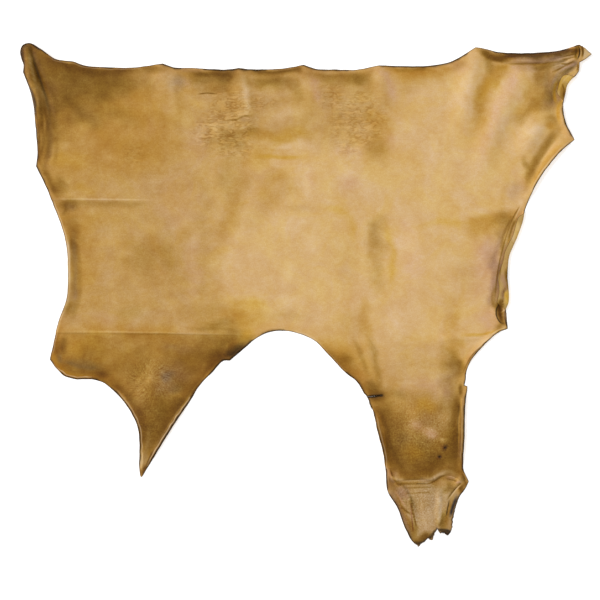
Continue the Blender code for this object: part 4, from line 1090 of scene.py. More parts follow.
net_points = net()
print("the net has", len(net_points), "points")

# %% [markdown]
# A pit, a fine streak and the cut edge are all narrower than the net, so each brings points of
# its own: rings round a pit, rows down a streak, rows inside the edge. The colours sit on these
# points, and a fine line would be drawn as a row of beads if its points lay beside it.

# %% Rings and rows
FINE_STREAK = 1.8  # squares
ROW_STEP = 3.0 * MILLIMETRE
ROWS_AT = (0, 0.5, -0.5, 1, -1)  # shares of the width, to the left and to the right
EDGE_INSETS = (0.8, 1.8, 3.2, 5.5, 9.0)  # mm
Pit = namedtuple("Pit", "x y across depth")
PITS = (Pit(444.4, 447.7, 5.0, 1.7), Pit(439.5, 456.8, 5.0, 1.7))
PIT_RINGS = ((0.35, 7), (0.7, 12), (1.1, 16))  # share of the pit's radius, and points


def rows_along(streak):
    """Rows of points down a fine streak: in its middle, half way out and on its rims."""
    line = np.array(curve_through([on_plan(place) for place in streak.path], ROW_STEP))
    along = np.gradient(line, axis=0)
    along /= np.linalg.norm(along, axis=1)[:, None]
    leftward = np.stack((-along[:, 1], along[:, 0]), axis=1)
    for share in ROWS_AT:
        width = streak.left if share > 0 else streak.right
        yield line + leftward * share * width * SQUARE


def rings(pit):
    """Rings of points round a pit."""
    middle = on_plan((pit.x, pit.y))
    yield middle[None]
    for share, count in PIT_RINGS:
        angles = np.arange(count) * 2 * math.pi / count
        circle = np.stack((np.cos(angles), np.sin(angles)), axis=1)
        yield middle + circle * share * pit.across / 2 * MILLIMETRE


numbers = np.arange(len(edge))
flat_parts = [bend_line + normals * strip[:, None]]
placed_parts = [carried(numbers, strip)]
curled = numbers[turned]
runs = [strip[curled] * share for share in np.linspace(0, 1, TURN_ROWS, endpoint=False)]
runs += [strip[curled] - width * MILLIMETRE for width in EDGE_INSETS[:3]]
for run in runs:
    flat_parts.append(bend_line[curled] + normals[curled] * run[:, None])
    placed_parts.append(carried(curled, run))
print("points on the edge and in the strips:", sum(len(part) for part in flat_parts))

# %% [markdown]
# The rest is added from the finest to the coarsest, and a place that is too near to a point
# already there is left out. That keeps the triangles even where rows and net meet.

# %% Fill the pattern and lift it
CLEARANCE = 0.55  # of the spacing, that a new point keeps
PIT_SPACING = 0.3 * MILLIMETRE
EDGE_SPACING = 1.3 * MILLIMETRE
ROW_SPACING = 1.6 * MILLIMETRE
BETWEEN_ROWS = 0.8 * MILLIMETRE


def inside_of(line, places):
    """Whether each place is inside a closed outline."""
    inside = np.zeros(len(places), bool)
    for (x0, y0), (x1, y1) in zip(line, np.roll(line, -1, axis=0)):
        spans = (places[:, 1] < y0) != (places[:, 1] < y1)
        if spans.any():
            crossing = x0 + (places[:, 1] - y0) * (x1 - x0) / (y1 - y0)
            inside ^= spans & (places[:, 0] < crossing)
    return inside


def add_points(places, spacing):
    """Adds places inside the bend line that are clear of the points already there."""
    places = places[inside_of(bend_line, places)]
    _, away = nearest_on(np.concatenate(flat_parts), places)
    places = places[away > CLEARANCE * spacing]
    flat_parts.append(places)
    placed_parts.append(np.column_stack((places, relief(places))))


for pit in PITS:
    add_points(np.concatenate(list(rings(pit))), PIT_SPACING)
flat_edge = numbers[~turned]
for width in EDGE_INSETS:
    add_points(edge[flat_edge] - normals[flat_edge] * width * MILLIMETRE, EDGE_SPACING)
fine_rows = np.empty((0, 2))
for streak in streaks_under(FINE_STREAK):
    for row in rows_along(streak):
        if len(fine_rows):
            row = row[nearest_on(fine_rows, row)[1] > BETWEEN_ROWS]
        fine_rows = np.concatenate((fine_rows, row))
add_points(fine_rows, ROW_SPACING)
add_points(net_points, NET_STEP)
print("rows along fine streaks hold", len(fine_rows), "points")

# %% [markdown]
# The triangulation works on the flat pattern. It may drop or reorder points, so it also tells
# which point each of its own came from, and the lifted places are put in the same order.

# %% Join the points
INSIDE_ONLY = 1  # of the outline
SAME_PLACE = 1e-7  # metres
pattern = np.concatenate(flat_parts)
placed = np.concatenate(placed_parts)
outline = list(range(len(edge)))[::-1]
points = [Vector(point) for point in pattern]
_, _, faces, origins, _, _ = delaunay_2d_cdt(points, [], [outline], INSIDE_ONLY, SAME_PLACE)
order = np.array([origin[0] for origin in origins])
pattern, placed = pattern[order], placed[order]
print("the sheet has", len(pattern), "points and", len(faces), "triangles a side")

# %% [markdown]
# ## Thickness
# A hide is 3 mm thick all over but not at its cut edge, which rounds off, nor in a pit, where
# the grain is eaten away. Solidify can take its thickness from a vertex group, so the weights
# hold how much of the 3 mm each point has. It grows upwards, away from the ground.

# %% How thick each point is
THICKNESS = 3.0  # mm
ROUND_OFF = 5.5  # mm from the edge where the leather reaches its full thickness
LEAST_SHARE = 0.3  # of the thickness, at the edge itself
UNEVEN_SKIN = 0.04  # of the thickness
PIT_WALL = 1.15  # of a pit's radius, where its wall starts
THINNEST = 0.2  # of the thickness, that is left anywhere
_, edge_away = nearest_on(bend_line + normals * strip[:, None], pattern)
edge_mm = edge_away / MILLIMETRE


def round_off(away):
    """A quarter ellipse: the share of the thickness that a place away from the edge has."""
    share = np.clip(away / ROUND_OFF, 0, 1)
    return LEAST_SHARE + (1 - LEAST_SHARE) * np.sqrt(1 - (1 - share) ** 2)


skin = 1 - UNEVEN_SKIN + UNEVEN_SKIN * clouds(pattern, 50 * MILLIMETRE, seed=11)
thickness = round_off(edge_mm) * skin
for pit in PITS:
    away = np.linalg.norm(pattern - on_plan((pit.x, pit.y)), axis=1) / MILLIMETRE
    thickness -= pit.depth / THICKNESS * smooth(PIT_WALL - away / (pit.across / 2))
thickness = np.clip(thickness, THINNEST, 1.0)
print("thinnest:", round(float(thickness.min()) * THICKNESS, 2), "mm")

# %% [markdown]
# ## Painting
# Each point of the pattern gets one colour. A stain, a patch of painted shading or a streak gives
# its cover there, from 0 to 1, and moves the point's colour that far towards its own. Clouds of
# two sizes shift every mark a little, so that no ellipse keeps a clean rim, and another makes the
# cover blotchy. Small marks and narrow streaks are shifted less, or they would leave their place.

# %% Colours and covers
STREAK_ENDS = 0.25  # the share of its length over which each end of a streak fades
END_STRENGTH = 0.25  # of its strength, that a streak keeps at its very ends
LEAST_LIGHT = 0.001  # that any dye lets through


def linear(tone):
    """A tone from the palette as the linear colour that a shader works in."""
    share = np.array(tone) / 255
    return np.where(share <= 0.04045, share / 12.92, ((share + 0.055) / 1.055) ** 2.4)


def density(tone):
    """How much of each colour of light a tone's dye takes away, on a scale that adds up."""
    return -np.log(np.maximum(linear(tone), LEAST_LIGHT))


def off_plan(places):
    """Places in metres, back in squares of the plan."""
    across = places[:, 0] / SQUARE + PLAN_MIDDLE[0]
    down = PLAN_MIDDLE[1] - places[:, 1] / SQUARE
    return np.stack((across, down), axis=1)


def stain_and_shading_cover(stain_and_shading, squares):
    """How strongly a stain or a patch of painted shading covers each place."""
    offset = squares - (stain_and_shading.x, stain_and_shading.y)
    turn = math.radians(stain_and_shading.turn)
    along = (offset[:, 0] * math.cos(turn) - offset[:, 1] * math.sin(turn)) / stain_and_shading.reach_x
    across = (offset[:, 0] * math.sin(turn) + offset[:, 1] * math.cos(turn)) / stain_and_shading.reach_y
    return stain_and_shading.strength * smooth((1 - np.hypot(along, across)) / stain_and_shading.soft)


def streak_cover(streak, offset, share):
    """How strongly a streak covers places beside it, at an offset and a share of its length."""
    width = np.where(offset > 0, streak.left, streak.right) * SQUARE
    ends = smooth(share / STREAK_ENDS) * smooth((1 - share) / STREAK_ENDS)
    faded = END_STRENGTH + (1 - END_STRENGTH) * ends
    return streak.strength * smooth(1 - np.abs(offset) / width) * faded


print("umber dye takes away", density(UMBER).round(2))

# %% [markdown]
# The plain tan is laid first, then each stain and patch of painted shading and each streak in
# the order of the rows. The paint is worked out as the density of its dye, because dyes add up
# on that scale, and the painted shade and highlight are mixed on the same scale.

# %% Paint the grain side
WHOLE_DRIFT_STAIN_AND_SHADING = 14  # squares: a stain of less reach drifts less
WHOLE_DRIFT_STREAK = 10  # squares
MOST_DRIFT = 5  # squares
STAIN_AND_SHADING_COVER = (0.94, 0.18)  # the even and the blotchy part of a stain's cover
STREAK_COVER = (0.55, 0.5)  # the same for a streak, with the blotches of the stains


def wobble(places, size, amount, seed):
    """Soft random shifts of places, as big as an amount in squares of the plan."""
    shift = np.stack((clouds(places, size, seed), clouds(places, size, seed + 1)), 1)
    return shift * amount


def paint(base, stain_and_shading_list, streak_list, places):
    """The linear colour of the leather at each place."""
    dye_and_shading = np.tile(density(base), (len(places), 1))
    drift = (wobble(places, 70 * MILLIMETRE, amount=4.5, seed=21)
             + wobble(places, 20 * MILLIMETRE, amount=2.0, seed=23))
    mottle = STAIN_AND_SHADING_COVER[0] + STAIN_AND_SHADING_COVER[1] * clouds(places, 30 * MILLIMETRE, seed=25)
    squares = off_plan(places)
    for stain_and_shading in stain_and_shading_list:
        drifted = squares + drift * min(1, stain_and_shading.reach_y / WHOLE_DRIFT_STAIN_AND_SHADING)
        cover = np.clip(stain_and_shading_cover(stain_and_shading, drifted) * mottle, 0, 1)[:, None]
        dye_and_shading += (density(stain_and_shading.tone) - dye_and_shading) * cover
    for streak in streak_list:
        line = crest(streak.path)
        narrow, wide = sorted((streak.left, streak.right))
        close = near(line, places, (wide + MOST_DRIFT) * SQUARE)
        shift = drift[close] * min(1, narrow / WHOLE_DRIFT_STREAK) ** 1.5 * (SQUARE, -SQUARE)
        cover = streak_cover(streak, *beside(line, places[close] + shift))
        mottled = cover * (STREAK_COVER[0] + STREAK_COVER[1] * mottle[close])
        cover = np.clip(mottled, 0, 1)[:, None]
        dye_and_shading[close] += (density(streak.tone) - dye_and_shading[close]) * cover
    return np.exp(-dye_and_shading)


tan_colours = paint(TAN, ALL_STAINS_AND_SHADING, ALL_STREAKS, pattern)
print("mean colour of the grain side:", tan_colours.mean(axis=0).round(2))

# %% [markdown]
# The flesh side shows only on the turned strips. Its marks, stains together with painted shade and
# painted highlight across the curl, are painted where the curled leather comes to lie, and not on
# the flat pattern, because that is where they are seen on the plan.

# %% Paint the flesh side
FLESH_STAINS_AND_SHADING = stains_and_shading(
    (STRAW, 515, 228, 8, 22, 1.0, 22, 0.5), (PALE, 515, 228, 5, 16, 0.5, 22, 0.8),
    (PALE, 513.6, 238, 4.6, 14, 0.8, 22, 0.8), (HONEY, 503, 262, 6, 18, 0.6, 12),
    (ROSE, 501.6, 280, 7, 16, 0.6, 4, 0.8), (MAUVE, 501.6, 282, 7, 16, 0.5, 4),
    (MAUVE, 499, 297, 4.5, 14, 0.7, 0, 0.7), (UMBER, 498.6, 307, 3.8, 8, 0.7, 0, 0.8),
    (STRAW, 505, 298.6, 5.2, 13, 1.0, 0, 0.3), (OCHRE, 504.8, 299, 3.4, 9, 0.5, 14),
    (STRAW, 566, 78, 9, 6, 0.9, -34, 0.6), (OCHRE, 560, 87, 8, 8, 0.7),
    (BROWN, 562, 98, 8, 11, 0.8, 0, 0.7), (UMBER, 563, 97, 3, 6, 0.5), (HONEY, 502, 304, 4, 5, 0.5),
    (UMBER, 505, 273, 3.4, 9, 0.5), (STRAW, 503.4, 302, 4, 7, 0.6, 0, 0.8),
    (PALE, 520, 229, 5, 10, 0.7, 22), (STRAW, 561, 83, 4, 7, 0.6),
)
FLESH_STREAKS = streaks(
    (UMBER, 0.4, 1, (512, 222), (506, 240), (502, 256), (499.6, 272), (498.4, 288)),
    (OLIVE, 0.8, 1.8, (508.6, 262), (507.2, 272), (506.8, 282), (507, 288)),
    (UMBER, 0.6, 0.8, (505.6, 286), (503, 292), (502, 300), (503.6, 308)),
    (PALE, 0.7, 1.2, (508.6, 290), (509.2, 298), (507.6, 306)),
    (PALE, 0.5, 1.2, (575, 71), (564, 80), (559, 88), (558, 102)),
    (UMBER, 0.6, 1.2, (561, 84), (563.4, 90), (562, 98)),
)
flesh_colours = paint(SUEDE, FLESH_STAINS_AND_SHADING, FLESH_STREAKS, placed[:, :2])
print("mean colour of the flesh side:", flesh_colours.mean(axis=0).round(2))

# %% [markdown]
# ## Masks
# Some marks aren't colours: growth wrinkles over the neck, and the pebbly grain of the shank.
# Where they are is painted the same way, as numbers from 0 to 1, and the shader draws them. The
# dark rim of burnish and painted shade and the painted highlight of the lit rim become two more
# numbers, the strongest rim at the nearest edge point.

# %% Where the grain wrinkles and the edge shines
MASK_RISE = 1.4  # how steeply a mask rises inwards from its rim
UNEVEN_RIM = 0.25
WRINKLED = (
    Spot(232, 118, 36, 44), Spot(216, 132, 32, 26), Spot(264, 102, 20, 12, 0.7),
    Spot(234, 148, 30, 14, 0.8), Spot(358, 120, 40, 42, 0.8), Spot(332, 98, 22, 18, 0.8),
    Spot(350, 148, 22, 12, 0.8), Spot(136, 154, 20, 16, 0.5),
)
PEBBLED = (
    Spot(160, 380, 44, 34, 0.5), Spot(150, 420, 18, 34, 0.5), Spot(420, 430, 50, 52, 0.8),
    Spot(420, 505, 40, 44),
)


def mask(spots):
    """The strongest of some soft spots at each place."""
    found = np.zeros(len(pattern))
    for spot in spots:
        inwards = 1 - in_ellipse(pattern, spot)
        found = np.maximum(found, spot.strength * smooth(MASK_RISE * inwards))
    return found


def along_edge(rims, least):
    """The amount of the strongest rim at the nearest point of the edge, for every point."""
    amount = np.full(len(edge), least)
    for rim in rims:
        amount = np.maximum(amount, rim.amount * window(rim))
    number, _ = nearest_on(edge, pattern)
    return amount[number] * (1 + UNEVEN_RIM * clouds(pattern, 12 * MILLIMETRE, seed=31))


wrinkled, pebbled = mask(WRINKLED), mask(PEBBLED)
burnished_shaded_mm = along_edge(BURNISHED_SHADED, least=1.6)
lit = along_edge(LIT, least=0.05)
print("wrinkled points:", int((wrinkled > 0.1).sum()), "pebbled:", int((pebbled > 0.1).sum()))

# %% [markdown]
# ## One mesh
# Everything now becomes a single mesh: the lifted points, their triangles, a UV map that is
# the flat pattern in metres, so that a pattern on it follows the leather round a curl, and one
# attribute for each painted value. Solidify copies them all on to the upper side.

# %% Build the sheet
GRAIN, FLESH, CUT = 0, 1, 2
FAR_FROM_EDGE = 60  # mm, past which the distance doesn't matter


def store(mesh, name, kind, values):
    """Keeps one value a point as an attribute that shaders can read."""
    layer = mesh.attributes.new(name, kind, "POINT")
    field = "color" if kind == "FLOAT_COLOR" else "value"
    layer.data.foreach_set(field, np.ascontiguousarray(values, np.float32).ravel())


mesh = bpy.data.meshes.new("leather_hide")
mesh.from_pydata(placed.tolist(), [], faces)
uv = mesh.uv_layers.new(name="pattern")
corner_points = np.zeros(len(mesh.loops), int)
mesh.loops.foreach_get("vertex_index", corner_points)
uv.data.foreach_set("uv", pattern[corner_points].astype(np.float32).ravel())
for name, colours in (("tan", tan_colours), ("nap", flesh_colours)):
    store(mesh, name, "FLOAT_COLOR", np.column_stack((colours, np.ones(len(pattern)))))
for name, values in (
    ("edge_mm", np.clip(edge_mm, 0, FAR_FROM_EDGE)), ("burnished_shaded_mm", burnished_shaded_mm), ("lit", lit),
    ("wrinkled", wrinkled), ("pebbled", pebbled),
):
    store(mesh, name, "FLOAT", values)
mesh.shade_smooth()
print("with its folds the sheet has", round(sum(face.area for face in mesh.polygons), 3), "m2")

# %% [markdown]
# Solidify puts the second side on. Its offset of 1 grows the sheet upwards from the points, the
# vertex group thins it where the weights say so, and the material offsets give the underside and
# the rim the next two materials.

# %% Give it a thickness
hide = bpy.data.objects.new("leather_hide", mesh)
bpy.context.scene.collection.objects.link(hide)
group = hide.vertex_groups.new(name="thickness")
for number, share in enumerate(thickness):
    group.add([number], float(share), "REPLACE")
wall = hide.modifiers.new("thickness", "SOLIDIFY")
wall.thickness = THICKNESS * MILLIMETRE
wall.offset = 1.0
wall.vertex_group = "thickness"
wall.thickness_vertex_group = 0.0
wall.material_offset = FLESH - GRAIN
wall.material_offset_rim = CUT - GRAIN
print("the sheet is", round(wall.thickness * 1000, 1), "mm thick away from its edge")

# %% [markdown]
# ## Shader maths
# A leather finish is a few dozen sums of masks and noises. Wiring each Math node by hand hides
# the idea, so one small class wraps a socket: adding or multiplying wrapped sockets adds the
# Math nodes, and one method makes any other node from its type, settings and inputs. An input is
# given by its name, or by its number after an n where several have the same name.


# %% A socket that can be added and multiplied
class Wire:
    """An output socket of a shader node, with Python's operators as Math nodes."""

    def __init__(self, tree, socket):
        self.tree = tree
        self.socket = socket

    def node(self, kind, settings=None, output=0, **inputs):
        """Adds a node, sets it up, joins its inputs and gives the wire of one output."""
        node = self.tree.nodes.new(kind)
        for name, value in (settings or {}).items():
            setattr(node, name, value)
        for name, value in inputs.items():
            key = int(name[1:]) if name[1:].isdigit() else name.replace("_", " ")
            join(self.tree, value, node.inputs[key])
        return Wire(self.tree, node.outputs[output])

    def maths(self, operation, *values):
        """A Math node of an operation on this wire and the values."""
        named = {f"n{number}": value for number, value in enumerate((self, *values))}
        return self.node("ShaderNodeMath", {"operation": operation}, **named)

    def __add__(self, other):
        return self.maths("ADD", other)

    def __sub__(self, other):
        return self.maths("SUBTRACT", other)

    def __rsub__(self, other):
        return self.node("ShaderNodeMath", {"operation": "SUBTRACT"}, n0=other, n1=self)

    def __mul__(self, other):
        return self.maths("MULTIPLY", other)

    __radd__, __rmul__ = __add__, __mul__

    def ramp(self, start, end):
        """0 up to start, 1 from end, smooth between."""
        settings = {"interpolation_type": "SMOOTHSTEP"}
        return self.node("ShaderNodeMapRange", settings, Value=self, From_Min=start, From_Max=end)

    def mixed(self, tone, share):
        """This colour mixed with a tone by a share."""
        return self.blend(share, self, colour_of(tone))

    def blend(self, share, first, second, mode="MIX"):
        """One colour mixed with another by a share."""
        settings = {"data_type": "RGBA", "blend_type": mode}
        return self.node("ShaderNodeMix", settings, 2, n0=share, n6=first, n7=second)

    def shaded(self, share):
        """This colour made lighter or darker by a factor."""
        return self.node("ShaderNodeVectorMath", {"operation": "SCALE"}, n0=self, Scale=share)


def colour_of(tone):
    """A tone from the palette as a colour socket takes it."""
    return (*linear(tone), 1)


def join(tree, value, socket):
    """Links a wire to a socket, or sets a plain value on it."""
    if isinstance(value, Wire):
        tree.links.new(value.socket, socket)
    else:
        socket.default_value = value


print("bark as a socket takes it:", np.round(colour_of(BARK), 3))

# %% [markdown]
# Every finish below starts and ends the same way, and uses painted attributes and noise between.

# %% Helpers for a finish
def finish(name, tone, roughness, specular):
    """A new material with its Principled shader, and a wire to start expressions from."""
    material = bpy.data.materials.new(name)
    material.use_nodes = True
    shader = material.node_tree.nodes["Principled BSDF"]
    shader.inputs["Roughness"].default_value = roughness
    shader.inputs["Specular IOR Level"].default_value = specular
    material.diffuse_color = colour_of(tone)
    return material, shader, Wire(material.node_tree, None)


def attribute(start, name, output):
    """The wire of a painted attribute."""
    return start.node("ShaderNodeAttribute", {"attribute_name": name}, output)


def dress(shader, colour, height, depth, strength=0.5):
    """Joins a colour to a shader, and a height as bump, of a depth in metres."""
    join(colour.tree, colour, shader.inputs["Base Color"])
    bump = colour.node("ShaderNodeBump", Strength=strength, Distance=depth, Height=height)
    join(colour.tree, bump, shader.inputs["Normal"])


def noise(start, places, scale, detail=4.0, roughness=0.5, distortion=0.0):
    """Noise between about 0 and 1 on the places, with a scale in repeats a metre."""
    return start.node("ShaderNodeTexNoise", Vector=places, Scale=scale, Detail=detail,
                      Roughness=roughness, Distortion=distortion)


print("bump tilts the light on the surface, and moves nothing")

# %% [markdown]
# ## The grain side
# Up close the grain side is a satin skin with pores about a millimetre apart, fine creases and
# a mottled dye. From a step away the dye and the soft gloss are all that shows. The painted colour,
# dye marks together with painted shade and highlight, gives the broad colour. Noises at four
# scales then make the dye stronger or weaker, as a power of the colour, because thick dye is
# darker and warmer at once, and a slow noise makes whole patches a little yellower or greyer.
# Within a few centimetres of the edge the colour is made darker as painted shade. Wrinkles are
# thin dark lines where the mask allows them, partly dye and partly painted shade, and the ripples
# get painted light and painted shade. Hair once grew round a whorl, so its marks are a noise
# drawn out along spirals. Along the edge runs a dark line of burnish and painted shade, and inside
# it a painted highlight on the bevel or, elsewhere, painted shade where the edge turns from the
# light.

# %% Grain leather
WHORL = (149, 380)  # in squares of the plan


def grain_leather():
    """Satin grain over the painted tan. Scales are in repeats a metre."""
    material, shader, start = finish("tanned_grain", TAN, 0.5, 0.16)
    places = start.node("ShaderNodeUVMap", {"uv_map": "pattern"})
    dye_and_shading = attribute(start, "tan", 0)
    edge_away = attribute(start, "edge_mm", 2)
    wrinkled = attribute(start, "wrinkled", 2)
    pebbled = attribute(start, "pebbled", 2)
    burnished_shaded = attribute(start, "burnished_shaded_mm", 2)
    lit_edge = attribute(start, "lit", 2)

    brushed = start.node("ShaderNodeMapping", {}, Vector=places, Scale=(0.7, 1.0, 1.0))
    blotches = noise(start, places, 26.0, 3.0, 0.6, 0.5)
    drifts = noise(start, places, 12.0, 3.0, 0.55, 0.6)
    rubbed = noise(start, brushed, 120.0, 4.0, 0.65)
    speckle = noise(start, places, 300.0, 3.0, 0.7)
    strength = 0.11 + drifts * 0.34 + blotches * 0.42 + rubbed * 0.38 + speckle * 0.6

    ripple_at = start.node("ShaderNodeMapping", {}, Vector=places, Scale=(0.34, 1.0, 1.0))
    ripples = noise(start, ripple_at, 125.0, 1.2, 0.5, 0.5)
    broken = noise(start, places, 34.0, 3.0, 0.6).ramp(0.38, 0.56)
    wrinkle = (1 - (ripples - 0.5).maths("ABSOLUTE").ramp(0.0, 0.11)) * broken * wrinkled
    wave = (ripples.ramp(0.3, 0.7) - 0.5) * wrinkled
    pebble = (noise(start, places, 230.0, 3.0, 0.65, 0.4) - 0.5) * pebbled

    whorl_at = start.node("ShaderNodeVectorMath", {"operation": "SUBTRACT"}, n0=places,
                          n1=(*on_plan(WHORL), 0.0))
    reach = start.node("ShaderNodeVectorMath", {"operation": "LENGTH"}, 1, n0=whorl_at)
    east = start.node("ShaderNodeSeparateXYZ", Vector=whorl_at)
    north = start.node("ShaderNodeSeparateXYZ", {}, 1, Vector=whorl_at)
    spin = north.maths("ARCTAN2", east) + reach * 8.0
    spokes = start.node("ShaderNodeCombineXYZ", X=spin * 13.0, Y=reach * 60.0)
    hairs = (noise(start, spokes, 1.0, 3.0, 0.75) - 0.5) * reach.ramp(0.004, 0.012) * (
        1 - reach.ramp(0.03, 0.085))

    # painted shade: the colour is made darker within about 42 mm of the edge
    near_edge = 1 - edge_away.ramp(3.0, 42.0)
    strength = strength + wrinkle * 0.28 + pebble * 1.5 + hairs * 1.5 + near_edge * 0.16
    colour = dye_and_shading.node("ShaderNodeGamma", Color=dye_and_shading, Gamma=strength)
    # painted light and shade on the ripples, and painted shade in the wrinkles
    colour = colour.shaded(0.985 + wave * 0.16 - wrinkle * 0.14)
    patches = noise(start, places, 11.0, 5.0, 0.68, 0.7).ramp(0.34, 0.66)
    tint = start.blend(patches, (1.006, 1.0, 0.86, 1), (0.994, 1.0, 1.15, 1))
    colour = start.blend(1.0, colour, tint, "MULTIPLY")
    # painted highlight on the bevel inside the dark rim, where the edge faces the light
    lit = (1 - (edge_away - burnished_shaded * 0.8 - 2.8).maths("ABSOLUTE").ramp(0.2, 2.2)) * lit_edge
    colour = colour.mixed(PALE, lit * 0.6)
    # painted shade inside the rim wherever no highlight is painted
    unlit_rim_shade = 1 - (edge_away - burnished_shaded * 1.5).ramp(-3.0, 3.0)
    colour = colour.mixed(UMBER, unlit_rim_shade * (1 - lit_edge) * 0.45)
    # the dark rim: burnished leather and painted shade where the edge rounds away
    rim = 1 - (edge_away - burnished_shaded * 0.8).ramp(-1.3, 1.3)
    colour = colour.mixed(BARK, rim * 0.85)

    join(start.tree, 0.5 + blotches * 0.14 + wrinkle * 0.2, shader.inputs["Roughness"])
    pores = start.node("ShaderNodeTexVoronoi", {"feature": "F1"}, Vector=places, Scale=850.0)
    skin = pores * 0.12 + speckle * 0.1 - wrinkle * 0.4 + wave * 0.6 + pebble * 1.5 - hairs * 2.0
    dress(shader, colour, skin, depth=0.0008)
    return material


# %% [markdown]
# ## The flesh side and the cut edge
# The flesh side was never glazed: it is a pale, napped suede, with fibres that lie in drifts.
# It shows where an edge has turned over. The cut edge is dense leather, dried nearly black. The
# flesh side is drawn on the flat pattern, so that its nap goes round the curl with the leather.

# %% Flesh side and cut edge
def flesh_side():
    """Napped suede, combed along the pattern."""
    material, shader, start = finish("flesh_side", SUEDE, 0.85, 0.2)
    places = start.node("ShaderNodeUVMap", {"uv_map": "pattern"})
    edge_away = attribute(start, "edge_mm", 2)
    drifts = noise(start, places, 30.0, 5.0, 0.6, 0.5)
    combed = start.node("ShaderNodeMapping", {}, Vector=places, Scale=(1.0, 0.2, 1.0))
    nap = noise(start, combed, 900.0, 4.0, 0.7)
    dye_and_shading = attribute(start, "nap", 0)
    colour = dye_and_shading.node("ShaderNodeGamma", Color=dye_and_shading, Gamma=0.5 + drifts * 0.5 + nap * 0.5)
    # dark line at the cut edge: burnished leather and painted shade
    burnished_shaded = 1 - edge_away.ramp(0.4, 1.6)
    colour = colour.mixed(UMBER, burnished_shaded * 0.8)
    dress(shader, colour, nap + drifts, depth=0.0008, strength=0.6)
    return material


def cut_edge():
    """Dense leather with the ends of its fibres showing."""
    material, shader, start = finish("cut_edge", BARK, 0.6, 0.3)
    places = start.node("ShaderNodeTexCoord", {}, 3)
    fibres = noise(start, places, 600.0, 4.0, 0.6)
    colour = start.blend(fibres, colour_of(BARK), colour_of(UMBER))
    dress(shader, colour, fibres, depth=0.0006)
    return material


for material in (grain_leather(), flesh_side(), cut_edge()):
    mesh.materials.append(material)
    print("material:", material.name, "with", len(material.node_tree.nodes), "nodes")

# %% [markdown]
# ## Loose fibres
# A hide is a felt of fibres. A knife closes it, but where the shank tore, and just below the
# slit, short fibres stand out of the edge. First come the lines that they grow on.

# %% Lines along the torn edge
TORN = (
    Stretch((456, 499), (414, 541.5), 1.0, 0.04, 0.04),
    Stretch((373, 411), (368.4, 400.5), 1.0, 0.1, 0.1),
)
MID_EDGE = 1.1 * MILLIMETRE  # above the underside


def torn_paths():
    """Lines along the torn stretches, half way up the edge, with the way out at each point."""
    places, ways, spans = [], [], []
    for stretch in TORN:
        chosen = np.flatnonzero(window(stretch) > 0)
        first = len(places)
        places += (placed_parts[0][chosen] + (0, 0, MID_EDGE)).tolist()
        ways += np.column_stack((normals[chosen], np.zeros(len(chosen)))).tolist()
        spans += [(number, number + 1) for number in range(first, len(places) - 1)]
    lines = bpy.data.meshes.new("torn_edge")
    lines.from_pydata(places, spans, [])
    layer = lines.attributes.new("outward", "FLOAT_VECTOR", "POINT")
    layer.data.foreach_set("vector", np.ravel(ways).astype(np.float32))
    return bpy.data.objects.new("torn_edge", lines)


path = torn_paths()
bpy.context.scene.collection.objects.link(path)
print("the lines have", len(path.data.vertices), "points")

# %% [markdown]
# Fibres repeat along a path, so Geometry Nodes make them. The path is spaced out evenly, a
# tapering curl stands on each point, and each curl is turned outwards and sized by a seeded
# random number. The tree realizes the curls and sets their material.

# %% A tree that grows fibres
FIBRE_SIZES = {"Spacing": 0.55 * MILLIMETRE, "Longest": 4.2 * MILLIMETRE}


def fibre_dye():
    """Pale and dark fibres, in clumps."""
    material, shader, start = finish("loose_fibre", DUN, 0.9, 0.15)
    places = start.node("ShaderNodeTexCoord", {}, 3)
    clumps = noise(start, places, 220.0, 3.0, 0.6)
    colour = start.blend(clumps.ramp(0.3, 0.7), colour_of(UMBER), colour_of(DUN))
    join(start.tree, colour, shader.inputs["Base Color"])
    return material


